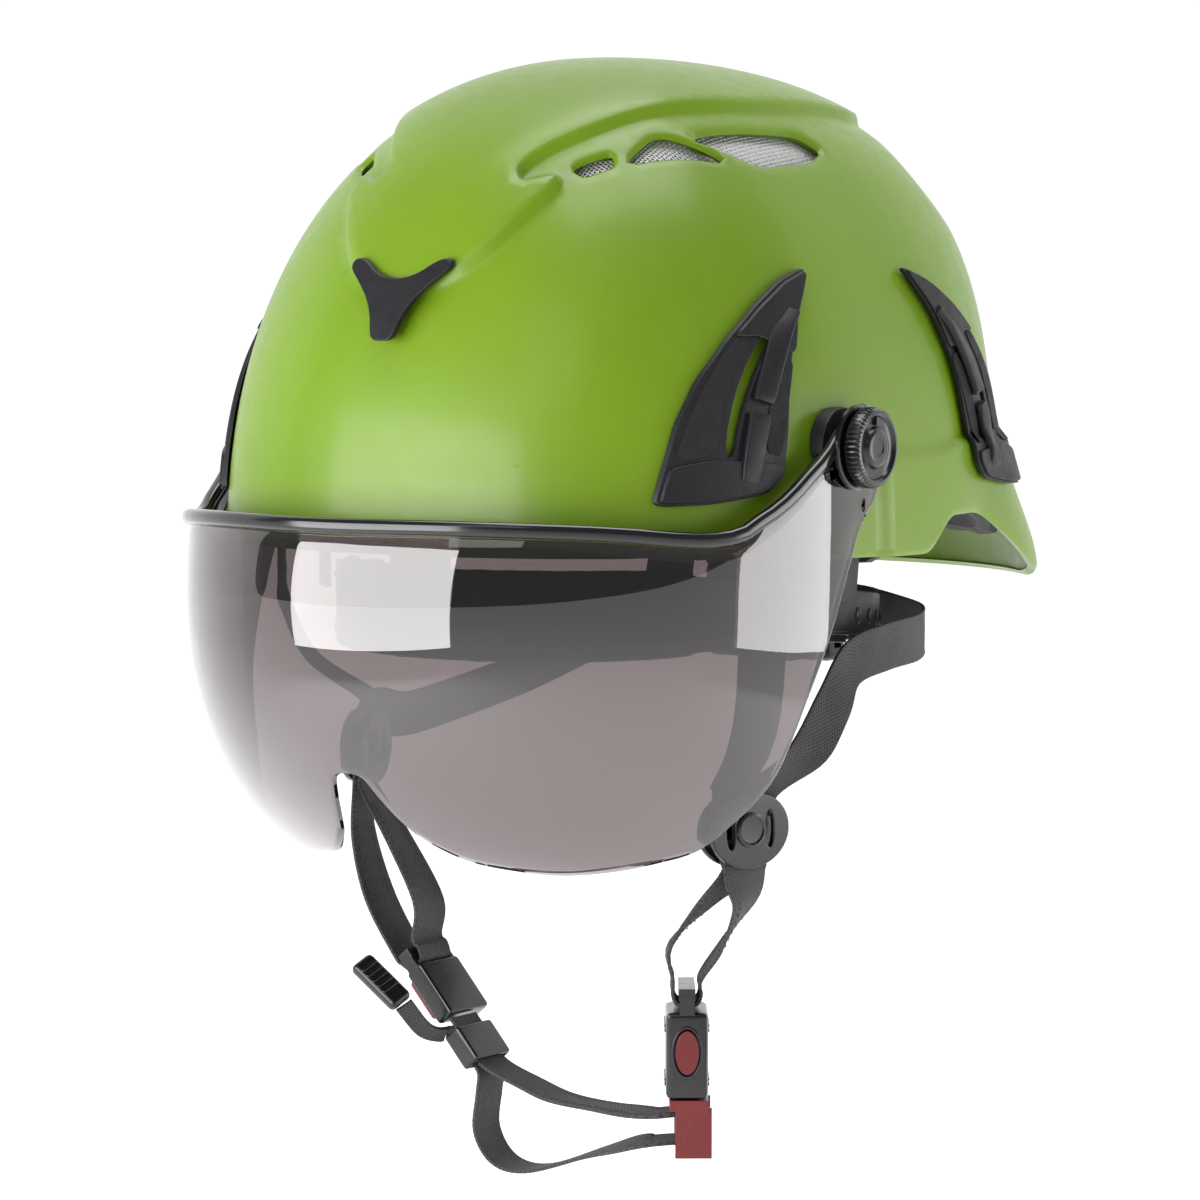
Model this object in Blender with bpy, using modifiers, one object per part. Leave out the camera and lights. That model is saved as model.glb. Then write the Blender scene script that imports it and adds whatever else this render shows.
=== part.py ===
# Forestry helmet with a short tinted visor, lamp clips, ratchet headband and chin strap.
# Millimetres below are turned into metres by MM. +Z is up, -Y is the wearer's front, +X the wearer's left.
import math

import bmesh
import bpy
from mathutils import Matrix, Vector

for old in list(bpy.data.objects):
    bpy.data.objects.remove(old, do_unlink=True)

MM = 0.001
GAP = 0.35                     # clearance between touching pieces

# shell
HALF_WIDTH = 107.5
FRONT_REACH = 129.0
REAR_REACH = 134.0
CROWN_HEIGHT = 154.0
SHELL_WALL = 3.2
MESH_DEPTH = (4.1, 4.9)
LINER_DEPTH = (5.8, 17.0)
PANEL_RISE = 3.2
BRIM_FLARE = 15.0
# visor
PIVOT = Vector((0.0, -35.0, 38.0))
LENS_WALL = 2.2
VISOR_HALF = 110.0
VISOR_REACH = 120.0
# head fit
BAND_HALF = 80.0
BAND_FRONT = 100.0
BAND_REAR = 101.0
BAND_WALL = 1.8
# webbing
WEB_WIDTH = 16.0
WEB_THICK = 1.2

partsCol = bpy.data.collections.new("forestry_helmet")
cutCol = bpy.data.collections.new("cutters")
bpy.context.scene.collection.children.link(partsCol)
bpy.context.scene.collection.children.link(cutCol)

COLOURS = {
    "shell_green": ((0.25, 0.45, 0.05, 1), 0.38, 0.0),
    "liner_grey": ((0.12, 0.12, 0.125, 1), 0.85, 0.0),
    "steel_mesh": ((0.62, 0.62, 0.62, 1), 0.35, 1.0),
    "black_nylon": ((0.028, 0.028, 0.032, 1), 0.45, 0.0),
    "black_gloss": ((0.012, 0.012, 0.013, 1), 0.25, 0.0),
    "smoke_lens": ((0.22, 0.20, 0.20, 0.45), 0.05, 0.0),
    "webbing": ((0.03, 0.028, 0.032, 1), 0.8, 0.0),
    "padding": ((0.02, 0.02, 0.022, 1), 0.95, 0.0),
    "red_plastic": ((0.30, 0.012, 0.014, 1), 0.35, 0.0),
    "steel": ((0.5, 0.5, 0.52, 1), 0.3, 1.0),
}


def matFor(name, kind):
    colour, rough, metal = COLOURS[kind]
    m = bpy.data.materials.new(name)
    m.use_nodes = True
    b = m.node_tree.nodes["Principled BSDF"]
    b.inputs["Base Color"].default_value = colour
    b.inputs["Roughness"].default_value = rough
    b.inputs["Metallic"].default_value = metal
    if colour[3] < 1:
        b.inputs["Alpha"].default_value = colour[3]
    m.diffuse_color = colour
    return m


def addObject(name, verts, faces, kind, cutter=False, origin=None):
    o = Vector(origin) if origin is not None else Vector((0, 0, 0))
    mesh = bpy.data.meshes.new(name)
    mesh.from_pydata([(Vector(v) - o) * MM for v in verts], [], faces)
    bm = bmesh.new()
    bm.from_mesh(mesh)
    bmesh.ops.remove_doubles(bm, verts=bm.verts, dist=0.000001)
    bmesh.ops.recalc_face_normals(bm, faces=bm.faces)
    bm.to_mesh(mesh)
    bm.free()
    ob = bpy.data.objects.new(name, mesh)
    ob.location = o * MM
    if cutter:
        cutCol.objects.link(ob)
        ob.hide_render = True
        ob.display_type = "WIRE"
    else:
        partsCol.objects.link(ob)
        mesh.materials.append(matFor(name, kind))
    return ob


def boolean(ob, other, op="DIFFERENCE"):
    m = ob.modifiers.new(op.lower(), "BOOLEAN")
    m.operation = op
    m.solver = "EXACT"
    m.object = other


def bevel(ob, width, segments=2, angle=40):
    m = ob.modifiers.new("bevel", "BEVEL")
    m.width = width * MM
    m.segments = segments
    m.limit_method = "ANGLE"
    m.angle_limit = math.radians(angle)


def smooth(x, a, b):
    t = min(max((x - a) / (b - a), 0.0), 1.0)
    return t * t * (3 - 2 * t)


def softMin(a, b, k):
    h = min(max(0.5 + 0.5 * (b - a) / k, 0.0), 1.0)
    return b * (1 - h) + a * h - k * h * (1 - h)


# ---- shell form: a distance from the origin for every direction ----

def shellRadius(d):
    dx, dy, dz = d
    reach = FRONT_REACH if dy < 0 else REAR_REACH
    plan = (abs(dx / HALF_WIDTH) ** 2.4 + abs(dy / reach) ** 2.4) ** (1 / 2.4)
    power = 2.25 + 0.9 * smooth(dy, -0.2, 0.9)
    r = 1 / (plan ** power + (max(dz, 0) / CROWN_HEIGHT) ** power) ** (1 / power)
    w = smooth(dy, -0.1, 0.25)
    slope = 237 / max(dz + 1.10 * math.hypot(1.18 * dx, dy), 0.01)     # sloping rear deck
    r = r * (1 - w) + softMin(r, slope, 2.0) * w
    return r


def panelEdge(y):
    # half width of the raised centre panel at each fore and aft station
    stations = [(-112, 0), (-106, 24), (-92, 34), (-84, 37), (-83, 25), (-80, 25), (-64, 38), (-30, 50),
                (20, 57), (55, 55), (80, 50), (90, 0)]
    if y <= stations[0][0] or y >= stations[-1][0]:
        return -5.0
    for (y0, h0), (y1, h1) in zip(stations, stations[1:]):
        if y0 <= y <= y1:
            return h0 + (h1 - h0) * (y - y0) / (y1 - y0)


def rimHeight(angle):
    # angle from the front in degrees, 0 to 180
    return 7 - 3.5 * smooth(angle, 30, 95) + 11 * smooth(angle, 95, 106) - 25 * smooth(angle, 112, 144)


def brimFlare(turn, z):
    # the rear brim leans out below this much
    return BRIM_FLARE * smooth(turn, 114, 144) * (1 - smooth(z - rimHeight(turn), 0, 45))


def shellPoint(angle, v, depth=0.0):
    # angle round from the front (degrees), v from rim 0 to crown 1
    a = math.radians(angle)
    sx, sy = math.sin(a), -math.cos(a)
    turn = abs((angle + 180) % 360 - 180)
    low = rimHeight(turn)
    base = shellRadius((sx, sy, 0.0))
    e0 = math.atan2(low, base)
    e = e0 + (math.pi / 2 - e0) * v
    d = Vector((math.cos(e) * sx, math.cos(e) * sy, math.sin(e)))
    r = shellRadius(d)
    p = d * r
    if depth == 0:
        if p.z > 60:
            r += PANEL_RISE * smooth(panelEdge(p.y) - abs(p.x), -1.0, 1.5)
    rise = p.z - low
    back = smooth(turn, 128, 168)
    flare = brimFlare(turn, p.z)
    skirt = 1.6 * smooth(turn, 98, 108) * (1 - smooth(p.z, 30, 48))
    return d * (r - depth) + Vector((sx, sy, 0)) * (flare + skirt)


def shellGrid(depth, columns, rows, lift=0.0):
    # rings from the rim up, then the crown point; lift raises the first ring
    rings = []
    for j in range(rows):
        v = lift + (1 - lift) * (j / rows)
        rings.append([shellPoint(360 * i / columns, v, depth) for i in range(columns)])
    return rings, shellPoint(0, 1.0, depth)


def domeSolid(name, outerDepth, innerDepth, columns, rows, kind, lift=0.0):
    verts, faces = [], []
    layers = []
    for depth in (outerDepth, innerDepth):
        rings, crown = shellGrid(depth, columns, rows, lift)
        start = len(verts)
        for ring in rings:
            verts.extend(ring)
        verts.append(crown)
        layers.append(start)
        for j in range(rows - 1):
            for i in range(columns):
                k = (i + 1) % columns
                faces.append((start + j * columns + i, start + j * columns + k,
                              start + (j + 1) * columns + k, start + (j + 1) * columns + i))
        top = start + (rows - 1) * columns
        for i in range(columns):
            faces.append((top + i, top + (i + 1) % columns, start + rows * columns))
    for i in range(columns):
        k = (i + 1) % columns
        faces.append((layers[0] + i, layers[0] + k, layers[1] + k, layers[1] + i))
    return addObject(name, verts, faces, kind)


def hitShell(p, d, depth=0.0):
    # walk from p along d until the shell's outside (less depth) is met
    d = Vector(d).normalized()
    lo, hi = 0.0, 200.0
    p = Vector(p)
    for _ in range(40):
        mid = (lo + hi) / 2
        q = p + d * mid
        turn = math.degrees(math.atan2(abs(q.x), -q.y))
        skirt = 1.6 * smooth(turn, 98, 108) * (1 - smooth(q.z, 30, 48))
        across = math.hypot(q.x, q.y) / q.length
        if q.length < shellRadius(q.normalized()) + skirt + brimFlare(turn, q.z) * across - depth:
            lo = mid
        else:
            hi = mid
    return p + d * lo


def padSolid(name, outline, centre, place, base, top, kind, rings=3):
    # a patch that follows the shell: outline in two flat coordinates, place(a, b, height) gives the point
    n = len(outline)
    verts, faces = [], []
    starts = []
    for h in (base, top):
        start = len(verts)
        starts.append(start)
        for r in range(rings):
            f = 1 - r / rings
            for (a, b) in outline:
                verts.append(place(centre[0] + (a - centre[0]) * f, centre[1] + (b - centre[1]) * f, h))
        verts.append(place(centre[0], centre[1], h))
        for r in range(rings - 1):
            for i in range(n):
                k = (i + 1) % n
                faces.append((start + r * n + i, start + r * n + k, start + (r + 1) * n + k, start + (r + 1) * n + i))
        for i in range(n):
            faces.append((start + (rings - 1) * n + i, start + (rings - 1) * n + (i + 1) % n, start + rings * n))
    for i in range(n):
        k = (i + 1) % n
        faces.append((starts[0] + i, starts[0] + k, starts[1] + k, starts[1] + i))
    return addObject(name, verts, faces, kind)


def prism(name, outline, place, low, high, kind="steel", cutter=True):
    n = len(outline)
    verts = [place(a, b, low) for a, b in outline] + [place(a, b, high) for a, b in outline]
    faces = [tuple(range(n)), tuple(range(2 * n - 1, n - 1, -1))]
    for i in range(n):
        k = (i + 1) % n
        faces.append((i, k, n + k, n + i))
    return addObject(name, verts, faces, kind, cutter=cutter)


def ribbon(name, path, sides, width, thick, kind, cutter=False):
    # a flat strap along path; sides holds the width direction at each point
    path = [Vector(p) for p in path]
    verts, faces = [], []
    last = len(path) - 1
    for i, p in enumerate(path):
        t = (path[min(i + 1, last)] - path[max(i - 1, 0)]).normalized()
        w = Vector(sides[i])
        w = (w - t * w.dot(t)).normalized()
        n = t.cross(w)
        half = width[i] / 2 if isinstance(width, (list, tuple)) else width / 2
        for sw, sn in ((-1, -1), (1, -1), (1, 1), (-1, 1)):
            verts.append(p + w * half * sw + n * thick / 2 * sn)
    for i in range(last):
        for k in range(4):
            m = (k + 1) % 4
            faces.append((4 * i + k, 4 * i + m, 4 * i + 4 + m, 4 * i + 4 + k))
    faces.append((0, 1, 2, 3))
    faces.append((4 * last + 3, 4 * last + 2, 4 * last + 1, 4 * last))
    return addObject(name, verts, faces, kind, cutter=cutter)


def curvePath(points, steps=4):
    # smooth path through the points
    pts = [Vector(p) for p in points]
    out = []
    for i in range(len(pts) - 1):
        p0 = pts[max(i - 1, 0)]
        p1, p2 = pts[i], pts[i + 1]
        p3 = pts[min(i + 2, len(pts) - 1)]
        for s in range(steps):
            t = s / steps
            out.append(0.5 * ((2 * p1) + (p2 - p0) * t + (2 * p0 - 5 * p1 + 4 * p2 - p3) * t * t
                              + (3 * p1 - p0 - 3 * p2 + p3) * t ** 3))
    out.append(pts[-1])
    return out


def box(name, centre, size, kind, turn=None, cutter=False, origin=None):
    c = Vector(centre)
    turn = turn or Matrix.Identity(3)
    verts = []
    for z in (-1, 1):
        for x, y in ((-1, -1), (1, -1), (1, 1), (-1, 1)):
            verts.append(c + turn @ Vector((x * size[0] / 2, y * size[1] / 2, z * size[2] / 2)))
    faces = [(3, 2, 1, 0), (4, 5, 6, 7), (0, 1, 5, 4), (1, 2, 6, 5), (2, 3, 7, 6), (3, 0, 4, 7)]
    return addObject(name, verts, faces, kind, cutter=cutter, origin=origin)


def drum(name, profile, centre, axis, kind, sides=32, ripple=0.0, teeth=0, origin=None, cutter=False, scale=(1, 1)):
    # closed profile of (radius, height) pairs turned about axis; ripple cuts grip teeth into the widest part
    axis = Vector(axis).normalized()
    side = axis.orthogonal().normalized() if abs(axis.z) > 0.9 else Vector((0, 0, 1))
    other = axis.cross(side)
    wide = max(r for r, h in profile)
    verts, faces = [], []
    c = Vector(centre)
    m = len(profile)
    for i in range(sides):
        a = 2 * math.pi * i / sides
        for r, h in profile:
            rr = r - (ripple if teeth and r > wide - 0.5 and i % 2 else 0)
            verts.append(c + axis * h + side * rr * math.cos(a) * scale[0] + other * rr * math.sin(a) * scale[1])
    for i in range(sides):
        k = (i + 1) % sides
        for j in range(m):
            l = (j + 1) % m
            if profile[j][0] == 0 and profile[l][0] == 0:
                continue
            faces.append((i * m + j, i * m + l, k * m + l, k * m + j))
    return addObject(name, verts, [tuple(dict.fromkeys(f)) for f in faces], kind, cutter=cutter, origin=origin)


# ---- shell, liner, vent mesh ----

shell = domeSolid("outer_shell", 0.0, SHELL_WALL, 60, 15, "shell_green")
liner = domeSolid("foam_liner", LINER_DEPTH[0], LINER_DEPTH[1], 40, 9, "liner_grey", lift=0.06)


def fromAbove(x, y, z):
    return Vector((x, y, z))


VENTS = {
    "small": [(37, -79), (45, -68), (47, -71), (41, -79)],
    "corner": [(51, -68), (53, -54), (67, -38)],
    "long": [(56, -44), (60, -18), (64, 6), (70, 12), (72, 2), (70, -26)],
    "rear": [(34, 92), (52, 80), (54, 88), (36, 100)],
}
for label, outline in VENTS.items():
    for side, tag in ((1, "left"), (-1, "right")):
        flat = [(x * side, y) for x, y in outline]
        cut = prism("cut_vent_%s_%s" % (label, tag), flat, fromAbove, 84, 170)
        boolean(shell, cut)
        boolean(liner, cut)


def onRoof(x, y, depth):
    return hitShell((x, y, 30), (0, 0, 1), -depth)


MESH_SIDE = [(33, -84), (48, -76), (62, -58), (76, -34), (79, -4), (74, 18), (62, 17), (53, -10), (47, -42),
             (40, -64)]
MESH_REAR = [(30, 90), (42, 79), (56, 76), (58, 88), (46, 97), (32, 102)]
for side, tag in ((1, "left"), (-1, "right")):
    padSolid("vent_mesh_" + tag, [(x * side, y) for x, y in MESH_SIDE], (60 * side, -30), onRoof,
             -MESH_DEPTH[1], -MESH_DEPTH[0], "steel_mesh", rings=4)
    padSolid("rear_mesh_" + tag, [(x * side, y) for x, y in MESH_REAR], (44 * side, 89), onRoof,
             -MESH_DEPTH[1], -MESH_DEPTH[0], "steel_mesh", rings=3)


# ---- front badge: plain three lobed plug ----

def onFront(x, z, height):
    return hitShell((x, -20, z), (0, -1, 0), -height)


BADGE = [(-18, 93), (-13, 95), (-7, 90.5), (0, 89), (7, 90.5), (13, 95), (18, 93), (17, 87), (10, 81), (5, 74),
         (0, 70), (-5, 74), (-10, 81), (-17, 87)]
badge = padSolid("front_badge", BADGE, (0, 82), onFront, PANEL_RISE + 0.9, PANEL_RISE + 3.1, "black_nylon", rings=2)


# ---- lamp clips ----

def onSide(sign, lean):
    # flat coordinates are (y, z); the clip is laid on the shell along a direction leaning off the side
    def place(y, z, height):
        d = Vector((sign, lean, 0)).normalized()
        along = Vector((-d.y, d.x, 0)) * sign
        p = Vector((0, 0, z)) + along * y
        return hitShell(p, d, -height)
    return place


FIN = [(-33, 92), (-46, 88), (-58, 81), (-71, 71), (-83, 59), (-91, 46), (-96, 32), (-99, 22), (-84, 22.5), (-67, 25),
       (-61, 30), (-58, 40), (-53, 60), (-44, 78)]
SLOT_FRONT = [(-64, 74), (-76, 62), (-85, 46), (-86, 36), (-82, 36), (-79, 48), (-70, 61), (-61, 71)]
CLIP_GAP = 1.2


def finer(outline):
    out = []
    for (a, b), (c, d) in zip(outline, outline[1:] + outline[:1]):
        out.append((a, b))
        if math.hypot(c - a, d - b) > 9:
            out.append(((a + c) / 2, (b + d) / 2))
    return out



def lampClip(name, sign, lean, outline, hookUp, hookLow):
    place = onSide(sign, lean)
    clip = padSolid(name, finer(outline), (-72, 50), place, CLIP_GAP, 3.4, "black_nylon", rings=4)
    up = curvePath([place(y, z, h) for y, z, h in hookUp], 3)
    low = curvePath([place(y, z, h) for y, z, h in hookLow], 3)
    across = place(-80, 60, 0) - place(-70, 64, 0)
    for tag, line in (("up", up), ("low", low)):
        arm = ribbon("add_%s_%s" % (name, tag), line, [across] * len(line), 7.5, 2.4, "black_nylon", cutter=True)
        boolean(clip, arm, "UNION")
    return clip


HOOK_UP = [(-49.5, 76.5, 4.1), (-58, 71, 5.4), (-66, 61, 6.0), (-71, 52, 5.8)]
HOOK_LOW = [(-77, 28, 3.3), (-76.5, 32, 5.2), (-75, 40, 6.0), (-73, 46.5, 5.8)]
for sign, tag in ((1, "left"), (-1, "right")):
    lampClip("lamp_clip_front_" + tag, sign, 0.0, FIN, HOOK_UP, HOOK_LOW)

# rear clips are the same fin turned to the back quarter
REAR_FIN = [(-y - 18, z) for y, z in FIN]


def onRearSide(sign):
    def place(y, z, height):
        return hitShell((0, y, z), (sign, 0, 0), -height)
    return place


def rearClip(name, sign):
    place = onRearSide(sign)
    clip = padSolid(name, finer(REAR_FIN), (54, 50), place, CLIP_GAP, 3.4, "black_nylon", rings=4)
    up = curvePath([place(-y - 18, z, h) for y, z, h in HOOK_UP], 3)
    low = curvePath([place(-y - 18, z, h) for y, z, h in HOOK_LOW], 3)
    across = place(62, 60, 0) - place(52, 64, 0)
    for tag, line in (("up", up), ("low", low)):
        arm = ribbon("add_%s_%s" % (name, tag), line, [across] * len(line), 7.5, 2.4, "black_nylon", cutter=True)
        boolean(clip, arm, "UNION")
    return clip


for sign, tag in ((1, "left"), (-1, "right")):
    rearClip("lamp_clip_rear_" + tag, sign)


# ---- visor: lens, rim band, brackets, pivot pins and tension knobs ----

def lensInset(z):
    # how far the lens curls in above and below its widest level
    return 93 - math.sqrt(max(93 * 93 - (z + 10) ** 2, 1))


def lensPoint(angle, z, out=0.0):
    # angle round the visor from its front centre; past 90 degrees the sides run straight back
    a = VISOR_HALF - (0.5 * lensInset(z) if z < -10 else 0) + out
    b = VISOR_REACH - lensInset(min(z, 14)) + out
    s = math.radians(min(abs(angle), 90))
    sign = 1 if angle >= 0 else -1
    x = a * math.sin(s)
    y = PIVOT.y - b * math.cos(s) + max(abs(angle) - 90, 0) * 1.2
    return Vector((sign * x, y, z))


LENS_LOW = [(0, -57), (3, -58.5), (4.8, -65), (6.5, -71), (9, -77), (15, -84), (22, -87), (32, -88.8), (42, -87.8),
            (53, -84.8), (61.5, -81), (68, -73), (73, -65), (76, -57), (80, -37), (85, -15.5), (88.7, 0.7),
            (91.4, 9.7), (95.6, 16), (100, 21), (103, 28)]
LENS_TOP = [(0, 14.2), (22, 14.2), (44, 12.7), (59, 10.2), (66, 11.4), (69.5, 15), (73.3, 18.8), (77.2, 24),
            (80.4, 29), (83.8, 33.7), (88.8, 44), (93, 50), (98, 50), (103, 42)]


def lookUp(table, x):
    for (x0, h0), (x1, h1) in zip(table, table[1:]):
        if x <= x1:
            return h0 + (h1 - h0) * (x - x0) / (x1 - x0)
    return table[-1][1]


def lensSolid():
    half = [0, 3, 6, 9, 13, 17, 22, 28, 34, 40, 46, 52, 58, 64, 70, 76, 81, 86, 90, 95, 100]
    angles = [-a for a in reversed(half[1:])] + half
    rows = 9
    verts, faces = [], []
    for out in (0.0, -LENS_WALL):
        for a in angles:
            lo, hi = lookUp(LENS_LOW, abs(a)), lookUp(LENS_TOP, abs(a))
            for j in range(rows + 1):
                verts.append(lensPoint(a, hi + (lo - hi) * j / rows, out))
    n, m = len(angles), rows + 1
    for layer in (0, n * m):
        for i in range(n - 1):
            for j in range(rows):
                q = layer + i * m + j
                faces.append((q, q + 1, q + m + 1, q + m))
    for i in range(n - 1):
        for j in (0, rows):
            faces.append((i * m + j, (i + 1) * m + j, n * m + (i + 1) * m + j, n * m + i * m + j))
    for j in range(rows):
        for i in (0, n - 1):
            faces.append((i * m + j, i * m + j + 1, n * m + i * m + j + 1, n * m + i * m + j))
    return addObject("visor_lens", verts, faces, "smoke_lens", origin=PIVOT)


lens = lensSolid()
for sign, tag in ((1, "left"), (-1, "right")):
    hole = drum("cut_lens_" + tag, [(0, 102), (4.6, 102), (4.6, 118), (0, 118)], (0, PIVOT.y, PIVOT.z), (sign, 0, 0),
                "steel", sides=24, cutter=True)
    boolean(lens, hole)
    slot = drum("cut_slot_" + tag, [(0, 102), (2.2, 102), (2.2, 118), (0, 118)], (0, -46.5, 31), (sign, 0, 0),
                "steel", sides=12, cutter=True, scale=(0.7, 1.3))
    boolean(lens, slot)

# the rim band runs along the lens's top edge and ends in a ring round each pivot
bandHalf = [0, 12, 24, 36, 46, 54, 60, 66, 69.5, 73.3, 77.2, 80.4, 83.8, 87]
bandAngles = [-a for a in reversed(bandHalf[1:])] + bandHalf


def topEdge(a):
    return lensPoint(a, lookUp(LENS_TOP, abs(a)), 0.1)


bandPath, bandSides = [], []
for a in bandAngles:
    along = (topEdge(a + 1.5) - topEdge(a - 1.5)).normalized()
    out = Vector((math.sin(math.radians(a)), -math.cos(math.radians(a)), 0))
    rise = out.cross(along).normalized()
    rise = rise if rise.z > 0 else -rise
    bandPath.append(topEdge(a) + rise * 3.3)
    bandSides.append(rise)
band = ribbon("visor_band", bandPath, bandSides, 4.4, 3.8, "black_gloss")
band.location = PIVOT * MM
for v in band.data.vertices:
    v.co -= PIVOT * MM
for sign, tag in ((1, "left"), (-1, "right")):
    ring = drum("add_ring_" + tag, [(5.0, 110.4), (12.8, 110.4), (12.8, 112.3), (5.0, 112.3)],
                (0, PIVOT.y, PIVOT.z), (sign, 0, 0), "black_gloss", sides=32, cutter=True)
    boolean(band, ring, "UNION")

for sign, tag in ((1, "left"), (-1, "right")):
    def onPivot(y, z, height, s=sign):
        if height > 0:
            return Vector((s * (PIVOT_FACE), y, z))
        return hitShell((0, y, z), (s, 0, 0), -0.5)
    PIVOT_FACE = 106.2
    ringLine = [(PIVOT.y + 12 * math.cos(2 * math.pi * k / 20), PIVOT.z + 12 * math.sin(2 * math.pi * k / 20))
                for k in range(20)]
    bracket = padSolid("visor_bracket_" + tag, ringLine, (PIVOT.y, PIVOT.z), onPivot, 0, 1, "black_nylon", rings=2)
    bore = drum("cut_bracket_" + tag, [(0, 100), (3.35, 100), (3.35, 120), (0, 120)], (0, PIVOT.y, PIVOT.z),
                (sign, 0, 0), "steel", sides=24, cutter=True)
    boolean(bracket, bore)
    drum("pivot_pin_" + tag, [(0, 105.6), (3.0, 105.6), (3.0, 115.1), (0, 115.1)], (0, PIVOT.y, PIVOT.z),
         (sign, 0, 0), "steel", sides=24)
    knob = drum("visor_knob_" + tag,
                [(3.3, 113.1), (11.6, 113.1), (12.1, 114.2), (12.1, 117.4), (10.6, 118.5), (8.6, 117.6), (6.2, 117.3),
                 (5.8, 118.7), (0, 118.9), (0, 115.5), (3.3, 115.5)],
                (0, PIVOT.y, PIVOT.z), (sign, 0, 0), "black_nylon", sides=48, ripple=0.6, teeth=1,
                origin=(sign * 116, PIVOT.y, PIVOT.z))


# ---- headband, pads, racks, ratchet, nape yoke ----

def bandPoint(angle, inset, z):
    a = math.radians(angle)
    reach = BAND_FRONT if abs(angle) < 90 else BAND_REAR
    return Vector(((BAND_HALF - inset) * math.sin(a), -(reach - inset) * math.cos(a), z))


def arcStrip(name, start, end, steps, inset, level, width, thick, kind):
    # level and width are functions of the angle
    path, sides, widths = [], [], []
    for i in range(steps + 1):
        a = start + (end - start) * i / steps
        path.append(bandPoint(a, inset, level(a)))
        sides.append(Vector((0, 0, 1)))
        widths.append(width(a))
    return ribbon(name, path, sides, widths, thick, kind)


def bandLevel(a):
    return -13 - 12 * smooth(abs(a), 60, 160)


front = arcStrip("headband_front", -96, 96, 32, 0, bandLevel, lambda a: 26 - 8 * smooth(abs(a), 40, 80), BAND_WALL,
                 "black_nylon")
arcStrip("brow_pad", -72, 72, 24, BAND_WALL / 2 + GAP + 2.5, bandLevel,
         lambda a: 30 - 8 * smooth(abs(a), 40, 72), 5.0, "padding")
RACK_LINE = [(51.4, 77.4), (46.0, 83.0), (40.0, 87.9), (33.0, 92.9), (28.0, 95.6), (24.5, 96.9), (19.0, 97.0), (2.0, 97.0),
             (-11.0, 97.0)]
for sign, tag in ((1, "left"), (-1, "right")):
    arcStrip("side_band_" + tag, sign * 82, sign * 150, 14, BAND_WALL + GAP, bandLevel, lambda a: 16, BAND_WALL,
             "black_nylon")
    path = [Vector((sign * x, y, -24.6)) for x, y in RACK_LINE]
    lift = 7.0 if sign > 0 else -7.0
    for p in path:
        p.z += lift
    ribbon("band_rack_" + tag, path, [Vector((0, 0, 1))] * len(path), 7.0, 1.6, "black_nylon")

housing = box("ratchet_housing", (0, 97.5, -24.6), (50, 11, 32), "black_nylon")
bevel(housing, 3.0, 2)
lane = box("cut_lane", (0, 97.0, -24.6), (60, 4.0, 23.0), "steel", cutter=True)
boolean(housing, lane)
shaftHole = drum("cut_shaft", [(0, 95), (3.4, 95), (3.4, 110), (0, 110)], (0, 0, -24.6), (0, 1, 0), "steel",
                 sides=24, cutter=True)
boolean(housing, shaftHole)
drum("ratchet_pinion", [(0, 95.6), (3.0, 95.6), (3.0, 103.6), (0, 103.6)], (0, 0, -24.6), (0, 1, 0), "steel",
     sides=20, origin=(0, 97, -24.6))
drum("ratchet_knob", [(0, 104.0), (17.0, 104.0), (18.0, 105.5), (18.0, 115.0), (16.0, 117.5), (6.0, 118.5), (0, 118.5)],
     (0, 0, -24.6), (0, 1, 0), "black_nylon", sides=48, ripple=1.0, teeth=1, origin=(0, 110, -24.6))


# yoke: one moulded strip over the housing whose arms rise into the shell
YOKE = [((66, 80, 24), 13), ((60, 83.5, 15), 14), ((50, 88.5, 5), 14), ((38, 94, -1), 12), ((22, 98, -3.2), 10),
        ((0, 99.5, -3.2), 10)]
half = [Vector(p) for p, w in YOKE]
path = half + [Vector((-p.x, p.y, p.z)) for p in reversed(half[:-1])]
wide = [w for p, w in YOKE]
yoke = ribbon("nape_yoke", path, [Vector((0, 0.15, 1))] * len(path), wide + list(reversed(wide[:-1])), 2.6,
              "black_nylon")
for sign, tag in ((1, "left"), (-1, "right")):
    slot = box("cut_yoke_" + tag, (sign * 50, 88.5, 5), (12, 16, 5), "steel",
               turn=Matrix.Rotation(sign * -math.radians(28), 3, "Z") @ Matrix.Rotation(sign * 0.75, 3, "Y"),
               cutter=True)
    boolean(yoke, slot)
arcStrip("nape_pad", 156, 204, 8, 14.0, lambda a: -27.0, lambda a: 22, 6.0, "padding")

# ---- cradle over the head ----

LONG = [(0, -102.3, -10), (0, -103.2, 5), (0, -103.2, 30), (0, -98, 60), (0, -84, 90), (0, -58, 116), (0, -26, 129.4),
        (0, 5, 132.6), (0, 40, 128.5), (0, 70, 110), (0, 88, 80), (0, 97, 42), (0, 99.5, 14), (0, 99.5, 2.4)]
line = curvePath(LONG, 2)
ribbon("cradle_strap_long", line, [Vector((1, 0, 0))] * len(line), 20, 1.2, "webbing")
side = [(82.3, 2, -12), (83.6, 2, 5), (83.4, 2, 30), (79, 2, 60), (67, 2, 92), (46, 2, 118.5), (31, 2, 126.6),
        (15, 2, 129.9), (0, 2, 130.7)]
cross = side + [(-x, y, z) for x, y, z in reversed(side[:-1])]
line = curvePath(cross, 2)
ribbon("cradle_strap_cross", line, [Vector((0, 1, 0))] * len(line), 20, 1.2, "webbing")
ringLine = [(26 * math.cos(2 * math.pi * k / 18), 30 * math.sin(2 * math.pi * k / 18)) for k in range(18)]
padSolid("crown_pad", ringLine, (0, 0), onRoof, -32.5, -26.5, "padding", rings=3)
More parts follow.
